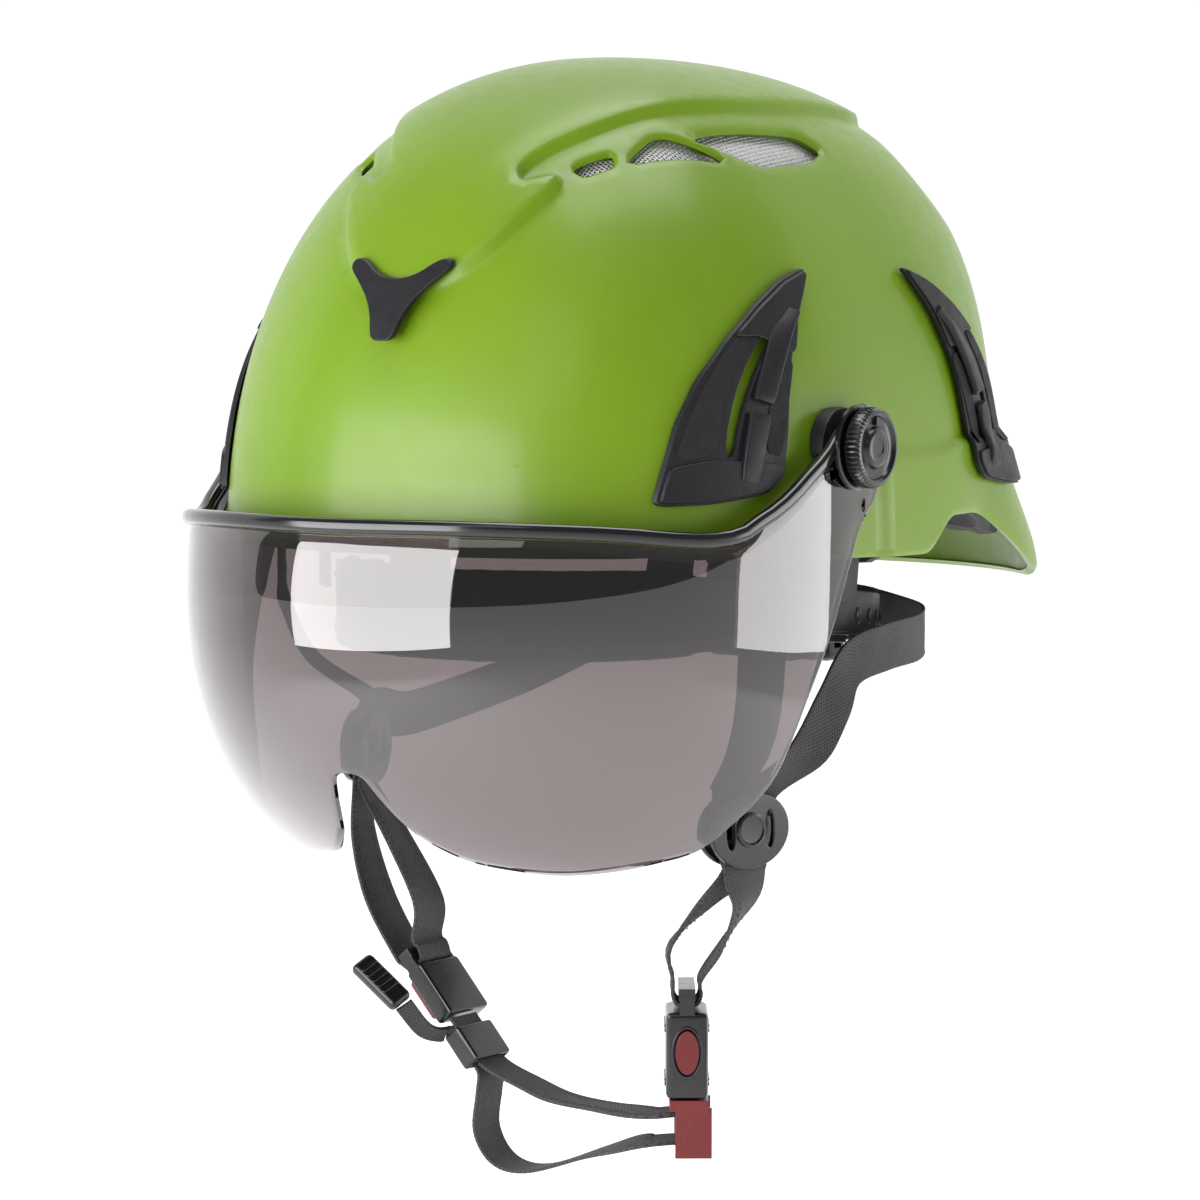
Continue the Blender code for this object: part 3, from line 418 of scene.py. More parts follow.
def loopDistance(xy, loop):
    # signed distance of many points to one loop, negative inside
    a = np.array([(p.x, p.y) for p in loop])
    b = np.roll(a, -1, axis=0)
    best = np.full(len(xy), 1e9)
    inside = np.zeros(len(xy), bool)
    for (ax, ay), (bx, by) in zip(a, b):
        ex, ey = bx - ax, by - ay
        wx, wy = xy[:, 0] - ax, xy[:, 1] - ay
        t = np.clip((wx * ex + wy * ey) / max(ex * ex + ey * ey, 1e-9), 0, 1)
        best = np.minimum(best, np.hypot(wx - ex * t, wy - ey * t))
        crosses = ((ay > xy[:, 1]) != (by > xy[:, 1]))
        side = xy[:, 0] < (bx - ax) * (xy[:, 1] - ay) / (by - ay if by != ay else 1e-9) + ax
        inside ^= crosses & side
    return np.where(inside, -best, best)


def triangulated(points, loops):
    # triangles over free points and closed loops: their places, faces and face middles
    verts, edges = list(points), []
    for loop in loops:
        start = len(verts)
        verts += loop
        edges += [(start + k, start + (k + 1) % len(loop)) for k in range(len(loop))]
    flat, _, faces, _, _, _ = delaunay_2d_cdt(verts, edges, [], 0, 1e-4)
    xy = np.array([(p.x, p.y) for p in flat])
    return xy, faces, np.array([xy[list(f)].mean(axis=0) for f in faces])


def usedOnly(points, faces):
    used = sorted({i for f in faces for i in f})
    renumber = {i: k for k, i in enumerate(used)}
    return [points[i] for i in used], [tuple(renumber[i] for i in f) for f in faces]


panelHalf = [(0, -113), (9, -112.4), (19, -109.5), (27, -104), (34, -94), (38, -86.5), (36.5, -83), (27, -89),
             (24.5, -87), (26, -83), (38, -65), (50, -32), (56.5, 8), (57, 46), (52, 64), (40, 73), (0, 78)]
ventShapes = {
    "small": [(37.5, -79), (45, -68), (47.5, -71), (42, -79)],
    "corner": [(49.5, -69.5), (50, -51), (67.5, -36)],
    "long": [(56, -44), (60, -18), (64, 6), (70, 12), (72, 2), (70, -26)],
    "rear": [(34, 92), (52, 80), (54, 88), (36, 100)],
}


def buildShell():
    print("shell: outlines")
    outline = panelHalf + [(-x, y) for x, y in reversed(panelHalf[1:-1])]
    panel = counterClockwise(resampled(rounded(outline, 2, 0.22), 1.6))
    vents = []
    for outline in ventShapes.values():
        for side in (1, -1):
            pts = [Vector((x * side, y)) for x, y in outline]
            vents.append(counterClockwise(resampled(rounded(pts, 2, 0.14), 1.2)))
    # every loop is drawn in a flat dome map: angle from the crown as radius, in degrees

    def toMap(xy):
        p = hitShell((xy.x, xy.y, 20), (0, 0, 1))
        d = p.normalized()
        s = 90 - math.degrees(math.asin(d.z))
        a = math.atan2(d.x, -d.y)
        return Vector((s * math.sin(a), -s * math.cos(a)))

    loops = []
    for dist in (-1.5, -0.5, 0.5, 1.3):
        loops.append([toMap(p) for p in offsetLoop(panel, dist)])
    ventMaps = []
    for vent in vents:
        for dist in (0.0, 0.6, 1.6):
            loop = [toMap(p) for p in offsetLoop(vent, dist)]
            loops.append(loop)
            if dist == 0.0:
                ventMaps.append(loop)
    around = [(outward(1.2 * k), abs((1.2 * k + 180) % 360 - 180)) for k in range(300)]
    rim = [(90 - math.degrees(math.atan2(rimHeight(turn), shellRadius(way))), way) for way, turn in around]
    for inset in (0.0, 0.35, 0.9):
        loops.append([(way * (s - inset)).xy for s, way in rim])
    rimMap = loops[-3]
    # ledge lines, so that its step is crisp
    for lift in (-1.7, -0.5, 0.7):
        spots = [hitShell((0, 0, ledgeHeight(turn) + lift), way).normalized() for way, turn in around]
        loops.append([(way * (90 - math.degrees(math.asin(d.z)))).xy for d,
                      (way, turn) in zip(spots, around)])
    print("shell: map")
    fixed = np.array([(p.x, p.y) for loop in loops for p in loop])
    step = 1.25
    rise = step * 0.866
    grid = np.array([(-110 + (i + 0.5 * (j % 2)) * step, -110 + j * rise)
                     for j in range(int(220 / rise)) for i in range(int(220 / step))])
    rimPoly = counterClockwise(rimMap)
    grid = grid[loopDistance(grid, rimPoly) < -1.2]
    cells = {}
    for x, y in fixed:
        cells.setdefault((int(x // 1), int(y // 1)), []).append((x, y))
    keep = []
    for x, y in grid:
        cx, cy = int(x // 1), int(y // 1)
        near = [p for i in (-1, 0, 1) for j in (-1, 0, 1) for p in cells.get((cx + i, cy + j), ())]
        if all((fx - x) ** 2 + (fy - y) ** 2 >= 0.42 for fx, fy in near):
            keep.append(Vector((x, y)))
    xy, faces, centres = triangulated(keep, loops)
    good = loopDistance(centres, rimPoly) < 0
    for vent in ventMaps:
        good &= loopDistance(centres, counterClockwise(vent)) > 0
    print("shell: surface", len(xy))
    pts = []
    for x, y in xy:
        s, a = math.hypot(x, y), math.atan2(x, -y)
        e = math.radians(90 - s)
        pts.append(bodyPoint(Vector((math.cos(e) * math.sin(a), -math.cos(e) * math.cos(a), math.sin(e)))))
    top = np.array([(p.x, p.y) for p in pts])
    high = np.array([p.z > 60 for p in pts])
    panelDist = loopDistance(top, panel)
    ventDist = np.full(len(pts), 99.0)
    for vent in vents:
        ventDist = np.minimum(ventDist, loopDistance(top, vent))
    rimS = loopDistance(xy, rimPoly)
    out = []
    for k, p in enumerate(pts):
        n = p.normalized()
        lift = 0.0
        if high[k]:
            # the panel stands proud at its edge and fades into the crown's own curve
            t = min(max((1.3 - panelDist[k]) / 2.8, 0), 1)
            lift += shellForm["panelRise"] * t * t * (3 - 2 * t)
            lift -= 1.5 * (1 - smooth(ventDist[k], 0.0, 1.6)) ** 2
        lift -= 0.9 * (1 - smooth(-rimS[k], 0.0, 0.9)) ** 2
        out.append(p + n * lift)
    ob = makeMesh("helmetShell", *usedOnly(out, [f for f, g in zip(faces, good) if g]), mats["green"])
    bm = bmesh.new()
    bm.from_mesh(ob.data)
    sample = max(bm.faces, key=lambda f: f.calc_center_median().z)
    if sample.normal.z < 0:
        bmesh.ops.reverse_faces(bm, faces=bm.faces)
    bm.to_mesh(ob.data)
    bm.free()
    m = ob.modifiers.new("wall", "SOLIDIFY")
    m.thickness = shellForm["wall"] * 0.9 * mm
    m.offset = -1
    ob = applied(ob)
    ob.data.shade_smooth()
    ob.data.set_sharp_from_angle(angle=math.radians(50))
    return done(ob, "helmet", "shell_green", "outer_shell")


buildShell()


def sweep(name, path, across, section, material, widths=None, uv=False):
    # section is a closed list of (across, through); across gives its width direction at each path point
    verts, faces = [], []
    n, last = len(section), len(path) - 1
    runs = [0.0]
    for i, p in enumerate(path):
        t = (path[min(i + 1, last)] - path[max(i - 1, 0)]).normalized()
        w = Vector(across[i])
        w = (w - t * w.dot(t)).normalized()
        k = widths[i] if widths else 1.0
        for a, b in section:
            verts.append(p + w * a * k + t.cross(w) * b)
        if i:
            runs.append(runs[-1] + (p - path[i - 1]).length)
    for i in range(last):
        for j in range(n):
            faces.append((i * n + j, i * n + (j + 1) % n, (i + 1) * n + (j + 1) % n, (i + 1) * n + j))
    faces += [tuple(range(n)), tuple(range((last + 1) * n - 1, last * n - 1, -1))]
    mesh = bpy.data.meshes.new(name)
    mesh.from_pydata([v * mm for v in verts], [], faces)
    if uv:
        layer = mesh.uv_layers.new(name="weave")
        for poly in mesh.polygons:
            for li, vi in zip(poly.loop_indices, poly.vertices):
                layer.data[li].uv = (section[vi % n][0] * mm, runs[vi // n] * mm)
    bm = bmesh.new()
    bm.from_mesh(mesh)
    bmesh.ops.recalc_face_normals(bm, faces=bm.faces)
    bm.to_mesh(mesh)
    bm.free()
    mesh.shade_smooth()
    mesh.set_sharp_from_angle(angle=math.radians(55))
    return link(name, mesh, material)


def roundRect(width, thick, radius, steps=3):
    pts = []
    for cx, cy, start in ((1, 1, 0), (-1, 1, 90), (-1, -1, 180), (1, -1, 270)):
        for k in range(steps + 1):
            a = math.radians(start + 90 * k / steps)
            pts.append((cx * (width / 2 - radius) + radius * math.cos(a),
                        cy * (thick / 2 - radius) + radius * math.sin(a)))
    return pts


def patch(name, outline, holes, place, low, high, material, step=2.0, edge=0.5):
    # a plate laid over a surface: flat outline less the holes, between two heights above the surface
    loops = [resampled(counterClockwise([Vector(p) for p in loop]), step) for loop in [outline] + list(holes)]
    xs = [p.x for p in loops[0]]
    ys = [p.y for p in loops[0]]
    across, down = np.arange(min(xs), max(xs), step), np.arange(min(ys), max(ys), step)
    grid = np.array([(x, y) for y in down for x in across])
    ok = loopDistance(grid, loops[0]) < -step * 0.55
    for hole in loops[1:]:
        ok &= loopDistance(grid, hole) > step * 0.55
    xy, faces, centres = triangulated([Vector(g) for g in grid[ok]], loops)
    good = loopDistance(centres, loops[0]) < 0
    for hole in loops[1:]:
        good &= loopDistance(centres, hole) > 0
    faces = [list(f) for f, g in zip(faces, good) if g]
    n = len(xy)
    both = [place(x, y, high) for x, y in xy] + [place(x, y, low) for x, y in xy]
    skin = faces + [[i + n for i in reversed(f)] for f in faces]
    count = {}
    for f in faces:
        for a, b in zip(f, f[1:] + f[:1]):
            count[(a, b)] = 1
    skin += [[b, a, a + n, b + n] for a, b in count if (b, a) not in count]
    ob = makeMesh(name, *usedOnly(both, skin), material, sharp=40)
    if edge:
        bevelled(ob, edge, 2, 50)
    return ob


def lathe(name, profile, centre, axis, material, sides=64, teeth=None, sharp=35):
    # profile of (radius, height) turned about axis; teeth are (count, depth, least radius that carries them)
    count, depth, least = teeth or (0, 0, 0)
    axis = Vector(axis).normalized()
    side = Vector((0, 0, 1)) if abs(axis.z) < 0.9 else Vector((1, 0, 0))
    side = (side - axis * side.dot(axis)).normalized()
    other = axis.cross(side)
    c = Vector(centre)
    verts, faces = [], []
    m = len(profile)
    for i in range(sides):
        a = 2 * math.pi * i / sides
        tooth = depth * max(0.0, math.cos(a * count)) ** 0.7
        for r, h in profile:
            rr = r - (tooth if r >= least else 0)
            verts.append(c + axis * h + (side * math.cos(a) + other * math.sin(a)) * rr)
    for i in range(sides):
        k = (i + 1) % sides
        for j in range(m - 1):
            faces.append((i * m + j, i * m + j + 1, k * m + j + 1, k * m + j))
    return makeMesh(name, verts, faces, material, sharp=sharp)


def block(name, centre, size, material, turn=None, edge=0.8):
    turn = turn or Matrix.Identity(3)
    half = Vector(size) / 2
    corners = [Vector((x, y, z)) for x in (-1, 1) for y in (-1, 1) for z in (-1, 1)]
    verts = [Vector(centre) + turn @ (half * c) for c in corners]
    faces = [(0, 1, 3, 2), (4, 6, 7, 5), (0, 4, 5, 1), (2, 3, 7, 6), (0, 2, 6, 4), (1, 5, 7, 3)]
    ob = makeMesh(name, verts, faces, material, sharp=30)
    bevelled(ob, edge, 3, 30)
    return ob


def carry(node, material, edge=0.5):
    # keeps a frame node as it is, with soft edges and a worked material
    ob = nodes[node]
    ob.data.materials.clear()
    ob.data.materials.append(material)
    weld = ob.modifiers.new("weld", "WELD")
    weld.merge_threshold = 0.00002
    if edge:
        b = ob.modifiers.new("edge", "BEVEL")
        b.width = edge * mm
        b.segments = 2
        b.limit_method = "ANGLE"
        b.angle_limit = math.radians(32)
    w = ob.modifiers.new("shade", "WEIGHTED_NORMAL")
    w.keep_sharp = False
    return ob


def buildMesh():
    patches = {
        "vent_mesh": [(33, -84), (48, -76), (62, -58), (76, -34), (79, -4), (74, 18), (62, 17), (53, -10),
                      (47, -42), (40, -64)],
        "rear_mesh": [(30, 90), (42, 79), (56, 76), (58, 88), (46, 97), (32, 102)],
    }
    knit = {"pitch": 1.1, "radius": 0.3, "wave": 0.2, "depth": 4.5}
    for kind, outline in patches.items():
        for side, tag in bothSides:
            loop = counterClockwise([Vector((x * side, y)) for x, y in outline])
            xs = [p.x for p in loop]
            ys = [p.y for p in loop]
            nx = int((max(xs) - min(xs)) / knit["pitch"])
            ny = int((max(ys) - min(ys)) / knit["pitch"])
            flat = np.array([(min(xs) + i * knit["pitch"], min(ys) + j * knit["pitch"])
                             for i in range(nx + 1) for j in range(ny + 1)])
            inside = loopDistance(flat, loop).reshape(nx + 1, ny + 1) < 0
            spots = {}
            for i in range(nx + 1):
                for j in range(ny + 1):
                    if inside[i, j]:
                        x, y = flat[i * (ny + 1) + j]
                        spots[i, j] = hitShell((x, y, 30),
                                               (0, 0, 1)) - Vector((x * 0.004, 0, 1)) * knit["depth"]
            verts, faces = [], []

            def wire(cells, across):
                start = len(verts)
                for k, (i, j) in enumerate(cells):
                    lift = knit["wave"] * (1 if (i + j) % 2 else -1) * (1 if across == "x" else -1)
                    p = spots[i, j] + up * lift
                    w = Vector((1, 0, 0)) if across == "x" else Vector((0, 1, 0))
                    verts.extend([p - w * knit["radius"], p + up * knit["radius"], p + w * knit["radius"],
                                  p - up * knit["radius"]])
                    if k:
                        a = start + 4 * (k - 1)
                        for q in range(4):
                            faces.append((a + q, a + (q + 1) % 4, a + 4 + (q + 1) % 4, a + 4 + q))

            def lines(outer, inner, cell, across):
                for o in range(outer):
                    run = []
                    for q in range(inner + 1):
                        here = cell(o, q)
                        if q < inner and here in spots:
                            run.append(here)
                        else:
                            if len(run) > 1:
                                wire(run, across)
                            run = []

            lines(nx + 1, ny + 1, lambda o, q: (o, q), "x")
            lines(ny + 1, nx + 1, lambda o, q: (q, o), "y")
            ob = makeMesh("woven_%s_%s" % (kind, tag), verts, faces, mats["wire"])
            done(ob, "helmet", "steel_mesh", "%s_%s" % (kind, tag))


print("mesh and liner")
buildMesh()
carry("foam_liner", mats["foam"], 0)
liner = nodes["foam_liner"].modifiers.new("round", "SUBSURF")
liner.levels = 1
liner.render_levels = 1


def buildBadge():
    half = [(0, 88.2), (7, 89.6), (13.5, 94.2), (17.5, 94.6), (18.6, 91.6), (13.2, 87.2), (8.2, 82),
            (5.4, 76.5),
            (4.4, 72), (2.8, 70.2), (0, 70)]
    shape = half + [(-x, z) for x, z in reversed(half[1:-1])]

    def place(x, z, height):
        return hitShell((x, -20, z), (0, -1, 0), height)
    ob = patch("front_plug", rounded(shape, 2, 0.24), [], place, 3.6, 6.3, mats["black"], 1.3, 0.5)
    done(ob, "helmet", "black_nylon", "front_badge")


clipForm = {
    "fin": [(-33, 92), (-46, 88), (-58, 81), (-71, 71), (-83, 59), (-91, 46), (-96, 32), (-99, 22),
            (-84, 22.5),
            (-67, 25), (-61, 30), (-58, 40), (-53, 60), (-44, 78)],
    "slot": [(-57.5, 73.5), (-63, 68.5), (-70, 60.5), (-76.5, 48), (-79.5, 36), (-76.2, 36), (-73, 47),
             (-66.6, 58.5), (-60.5, 66), (-56, 70.5)],
    "barUp": [(-47, 79, 3.0), (-53, 73, 3.7), (-59, 64.5, 4.1), (-64.5, 55, 4.2), (-65.6, 52.4, 4.0)],
    "barLow": [(-72.6, 29, 3.0), (-72.2, 33, 3.7), (-70.6, 40, 4.1), (-68.6, 46, 4.2), (-67.8, 48.6, 4.0)],
    "tip": [(-34, 91.2), (-46, 87.2), (-58, 80.2), (-69.5, 71.6), (-61, 71.4), (-54.5, 67), (-49.6, 66.6),
            (-44.8, 77.5)],
    "foot": [(-94.6, 33.5), (-96.6, 28), (-98, 23), (-84, 23.4), (-67.5, 25.8), (-62, 30.2), (-60.6, 33.8),
             (-73, 35), (-84, 35.6)],
    "panelFront": [(-66, 73), (-75, 65.6), (-84.5, 53.5), (-90.5, 41.5), (-93, 35.5), (-82.2, 37),
                   (-79.2, 48.5), (-72.6, 61), (-64.5, 70)],
    "panelRear": [(-50.6, 64.5), (-55, 54), (-59.4, 41.5), (-61.2, 36.2), (-66, 37), (-65, 45), (-61.4, 55),
                  (-55.4, 65)],
}


def buildClip(name, node, place, turnedY):
    f = clipForm

    def q(points):
        return [(turnedY(p[0]), p[1]) for p in points]
    slot = [Vector(p) for p in q(f["slot"])]
    plate = patch(name + "_plate", rounded(q(f["fin"]), 2, 0.14), [rounded(slot, 1, 0.3)], place, 1.0, 2.9,
                  mats["black"], 2.0, 0.4)
    parts = [plate]
    for tag in ("tip", "foot"):
        parts.append(patch(name + tag, rounded(q(f[tag]), 1, 0.14), [], place, 2.6, 4.1, mats["black"], 2.0,
                           0.45))
    across = (place(turnedY(-80), 60, 0) - place(turnedY(-70), 64, 0)).normalized()
    for tag in ("barUp", "barLow"):
        line = curvePath([place(turnedY(y), z, h) for y, z, h in f[tag]], 5)
        parts.append(sweep(name + tag, line, [across] * len(line), roundRect(7.0, 2.6, 0.8), mats["black"]))
    for tag in ("panelFront", "panelRear"):
        inner = patch(name + tag, rounded(q(f[tag]), 1, 0.2), [], place, 2.7, 3.25, mats["grainy"], 2.4, 0.15)
        parts.append(inner)
    ob = joinAll(name, parts)
    done(ob, "helmet", "black_nylon", node)


print("badge and lamp clips")
buildBadge()
for side, tag in bothSides:
    def onSide(y, z, height, s=side):
        return hitShell((0, y, z), (s, 0, 0), height)
    buildClip("clip_front_" + tag, "lamp_clip_front_" + tag, onSide, lambda y: y)
    buildClip("clip_rear_" + tag, "lamp_clip_rear_" + tag, onSide, lambda y: -y - 18)


visorForm = {
    "half": 110.0, "reach": 120.0, "wall": 2.2, "pivot": (0, -35, 38),
    "low": [(0, -57), (3, -58.5), (4.8, -65), (6.5, -71), (9, -77), (15, -84), (22, -87), (32, -88.8),
            (42, -87.8),
            (53, -84.8), (61.5, -81), (68, -73), (73, -65), (76, -57), (80, -37), (85, -15.5), (88.7, 0.7),
            (91.4, 9.7), (95.6, 16), (100, 21), (103, 28)],
    "top": [(0, 14.2), (22, 14.2), (44, 12.7), (59, 10.2), (66, 11.4), (69.5, 15), (73.3, 18.8), (77.2, 24),
            (80.4, 29), (83.8, 33.7), (88.8, 44), (93, 50), (98, 50), (103, 42)],
}


def lensPoint(angle, z, out=0.0):
    f = visorForm
    inset = 93 - math.sqrt(max(93 * 93 - (z + 10) ** 2, 1))
    a = f["half"] - (0.5 * inset if z < -10 else 0) + out
    b = f["reach"] - (inset if z < 14 else 93 - math.sqrt(93 * 93 - 24 * 24)) + out
    s = math.radians(min(abs(angle), 90))
    x = a * math.sin(s) * (1 if angle >= 0 else -1)
    return Vector((x, f["pivot"][1] - b * math.cos(s) + max(abs(angle) - 90, 0) * 1.2, z))


def eased(table, x):
    # smooth curve through the table's heights
    i = 0
    while i < len(table) - 2 and x > table[i + 1][0]:
        i += 1
    x0, x1 = table[i][0], table[i + 1][0]
    h = [table[min(max(k, 0), len(table) - 1)] for k in (i - 1, i, i + 1, i + 2)]
    m0 = (h[2][1] - h[0][1]) / max(h[2][0] - h[0][0], 1e-6)
    m1 = (h[3][1] - h[1][1]) / max(h[3][0] - h[1][0], 1e-6)
    t = min(max((x - x0) / (x1 - x0), 0), 1)
    w = x1 - x0
    return ((2 * t ** 3 - 3 * t * t + 1) * h[1][1] + (t ** 3 - 2 * t * t + t) * w * m0
            + (-2 * t ** 3 + 3 * t * t) * h[2][1] + (t ** 3 - t * t) * w * m1)


def buildLens():
    f = visorForm
    marks = sorted({round(a, 2) for a in list(np.linspace(0, 12, 25)) + list(np.linspace(12, 103, 84))})
    angles = [-a for a in reversed(marks[1:])] + marks
    rows = 44
    verts, faces = [], []
    n, m = len(angles), rows + 1
    for out in (0.0, -f["wall"]):
        for a in angles:
            lo, hi = eased(f["low"], abs(a)), eased(f["top"], abs(a))
            for j in range(m):
                t = j / rows
                edge = 0.35 * (1 - smooth(min(t, 1 - t) * (hi - lo), 0, 0.8)) * (-1 if out == 0 else 1)
                verts.append(lensPoint(a, hi + (lo - hi) * t, out + edge))
    for layer in (0, n * m):
        for i in range(n - 1):
            for j in range(rows):
                q = layer + i * m + j
                faces.append((q, q + 1, q + m + 1, q + m))
    for i in range(n - 1):
        for j in (0, rows):
            faces.append((i * m + j, (i + 1) * m + j, n * m + (i + 1) * m + j, n * m + i * m + j))
    for j in range(rows):
        for i in (0, n - 1):
            faces.append((i * m + j, i * m + j + 1, n * m + i * m + j + 1, n * m + i * m + j))
    ob = makeMesh("smoke_visor", verts, faces, mats["lens"], sharp=60)
    for side in (1, -1):
        for y, z, ry, rz in ((-46.5, 31, 1.5, 2.9), (-29.5, 20.4, 1.2, 2.2), (-28.4, 16.2, 1.0, 1.3)):
            hole = patch("hole", ellipse(y, z, ry, rz, 16), [], lambda a, b, h, s=side: Vector((s * h, a, b)),
                         100, 116, mats["lens"], 1.5, 0)
            ob = cut(ob, hole)
    ob.data.shade_smooth()
    ob.data.set_sharp_from_angle(angle=math.radians(50))
    done(ob, "visor", "smoke_lens", "visor_lens")


def buildBand():
    f = visorForm
    marks = [0, 6, 12, 18, 24, 30, 36, 42, 48, 54, 58, 61, 64, 67, 69.5, 72, 74.5, 77, 79.5, 82, 84.5, 87]
    angles = [-a for a in reversed(marks[1:])] + marks

    def top(a):
        return lensPoint(a, eased(f["top"], abs(a)), 0.1)
    path, rises = [], []
    for a in angles:
        along = (top(a + 1.2) - top(a - 1.2)).normalized()
        rise = outward(a).cross(along).normalized()
        rise = rise if rise.z > 0 else -rise
        path.append(top(a) + rise * 2.6)
        rises.append(rise)
    # round bead with a thin lip that turns in over the lens edge
    section = roundRect(4.6, 4.0, 1.7, 4)
    parts = [sweep("band_bead", path, rises, section, mats["gloss"])]
    inner = [p - rise * 1.5 - outward(a) * 3.2 for p, rise, a in zip(path, rises, angles)]
    parts.append(sweep("band_lip", inner, rises, roundRect(1.3, 5.2, 0.5, 2), mats["gloss"]))
    for side in (1, -1):
        profile = [(5.0, 110.4), (12.4, 110.4), (12.8, 110.8), (12.8, 111.8), (12.3, 112.3),
                   (5.0, 112.3), (5.0, 110.4)]
        parts.append(lathe("band_ring", profile, (0, -35, 38), (side, 0, 0), mats["gloss"], 64))
    ob = joinAll("visor_rim", parts)
    done(ob, "visor", "gloss_black", "visor_band")


def buildKnob(side, tag):
    profile = [(3.3, 113.1), (10.8, 113.1), (11.4, 113.4), (12.0, 114.1), (12.2, 115.0),
               (12.2, 117.0), (11.9, 117.8), (11.2, 118.4), (10.2, 118.6), (9.6, 118.2),
               (9.2, 117.4), (8.0, 117.1), (6.6, 117.1), (6.2, 117.5), (6.0, 118.3), (5.6, 118.7),
               (4.2, 118.9), (2.6, 118.9), (2.3, 118.5), (0.0, 118.4)]
    ob = lathe("tension_knob_" + tag, profile, (0, -35, 38), (side, 0, 0), mats["fineBlack"], 240,
               (48, 0.75, 11.9), 40)
    bar = block("knob_mark_" + tag, (side * 117.6, -35, 46.0), (1.2, 1.1, 2.6), mats["fineBlack"], edge=0.3)
    ob = joinAll("tension_knob_" + tag, [ob, bar])
    done(ob, "knob_" + tag, "black_nylon", "visor_knob_" + tag)


print("visor")
buildLens()
buildBand()
for side, tag in bothSides:
    buildKnob(side, tag)
    carry("visor_bracket_" + tag, mats["black"], 0.4)
    carry("pivot_pin_" + tag, mats["steel"], 0.3)


def bandPoint(angle, inset, z):
    a = math.radians(angle)
    reach = 100 if abs(angle) < 90 else 101
    return Vector(((80 - inset) * math.sin(a), -(reach - inset) * math.cos(a), z))


def bandLevel(a):
    return -13 - 12 * smooth(abs(a), 60, 160)


def buildBands():
    angles = [-96 + 192 * i / 64 for i in range(65)]
    path = [bandPoint(a, 0, bandLevel(a)) for a in angles]
    widths = [(26 - 8 * smooth(abs(a), 40, 80)) / 26 for a in angles]
    band = sweep("head_band", path, [up] * len(path), roundRect(26, 1.8, 0.7), mats["black"], widths)
    ribs = []
    for z in (-8.5, 8.5):
        rib = [bandPoint(a, -1.1, bandLevel(a) + z * w) for a, w in zip(angles, widths)]
        ribs.append(sweep("rib", rib, [up] * len(rib), roundRect(1.6, 1.0, 0.4, 2), mats["black"]))
    done(joinAll("head_band", [band] + ribs), "helmet", "black_nylon", "headband_front")
    for side, tag in bothSides:
        angles = [side * (82 + 68 * i / 30) for i in range(31)]
        path = [bandPoint(a, 2.15, bandLevel(a)) for a in angles]
        strip = sweep("side_band", path, [up] * len(path), roundRect(16, 1.8, 0.7), mats["black"])
        studs = []
        for k in range(6):
            a = side * (104 + 7 * k)
            profile = [(0, -0.4), (2.6, -0.4), (2.6, 0.1), (2.0, 0.5), (0, 0.5)]
            studs.append(lathe("stud", profile, bandPoint(a, 1.2, bandLevel(a)), outward(a), mats["black"],
                               16))
        done(joinAll("side_strip_" + tag, [strip] + studs), "helmet", "black_nylon", "side_band_" + tag)
        carry("band_rack_" + tag, mats["black"], 0.3)
        carry("headband_hanger_" + tag, mats["black"], 0.4)


def buildRatchet():
    profile = [(0, 104.0), (15.5, 104.0), (16.9, 104.6), (18.0, 105.8), (18.0, 114.6),
               (16.8, 116.4), (15.0, 117.4), (12.5, 117.8), (11.6, 117.2), (8.0, 117.0),
               (7.2, 117.8), (5.6, 118.5), (0, 118.5)]
    knob = lathe("size_knob", profile, (0, 0, -24.6), (0, 1, 0), mats["black"], 192, (32, 1.3, 16.8), 40)
    done(knob, "ratchet", "black_nylon", "ratchet_knob")
    carry("ratchet_pinion", mats["steel"], 0.3)
    carry("ratchet_housing", mats["black"], 0.5)
    carry("nape_yoke", mats["black"], 0.7)


print("head fit")
buildBands()
buildRatchet()


padCloth = {"quality": 5, "mass": 0.12, "tension_stiffness": 12, "compression_stiffness": 12,
            "shear_stiffness": 4,
            "bending_stiffness": 0.4, "use_pressure": True, "uniform_pressure_force": 4.0,
            "vertex_group_mass": "seam"}


def puffPad(node, name, grid, reach, seams=None):
    # a voxel skin of the frame's pad, blown up a little and held along its seams
    deps = bpy.context.evaluated_depsgraph_get()
    mesh = bpy.data.meshes.new_from_object(nodes[node].evaluated_get(deps), depsgraph=deps)
    mesh.transform(nodes[node].matrix_world)
    mesh.materials.clear()
    ob = link(name, mesh, mats["pad"])
    r = ob.modifiers.new("even", "REMESH")
    r.mode = "VOXEL"
    r.voxel_size = grid
    ob = applied(ob)
    rest = [v.co.copy() for v in ob.data.vertices]
    pins = ob.vertex_groups.new(name="seam")
    if seams:
        held = [v.index for v in ob.data.vertices if seams(v.co / mm)]
        pins.add(held, 1.0, "REPLACE")
    c = ob.modifiers.new("puff", "CLOTH")
    for key, value in padCloth.items():
        setattr(c.settings, key, value)
    c.settings.effector_weights.gravity = 0
    c.point_cache.frame_start = 1
    c.point_cache.frame_end = 20
    scene = bpy.context.scene
    for f in range(1, 21):
        scene.frame_set(f)
    deps = bpy.context.evaluated_depsgraph_get()
    moved = [v.co.copy() for v in ob.evaluated_get(deps).data.vertices]
    ob.modifiers.remove(c)
    scene.frame_set(1)
    for v, a, b in zip(ob.data.vertices, rest, moved):
        step = b - a
        if step.length > reach:
            step *= reach / step.length
        v.co = a + step
    s = ob.modifiers.new("soft", "SUBSURF")
    s.levels = 1
    ob = applied(ob)
    ob.data.shade_smooth()
    done(ob, "helmet", "padding", node)
    return ob


def browSeams(p):
    a = math.degrees(math.atan2(p.x, -p.y))
    return min(abs(a - k) for k in (-60, -36, -12, 12, 36, 60)) < 1.2


def crownSeams(p):
    return abs(math.hypot(p.x, p.y) - 14) < 1.4


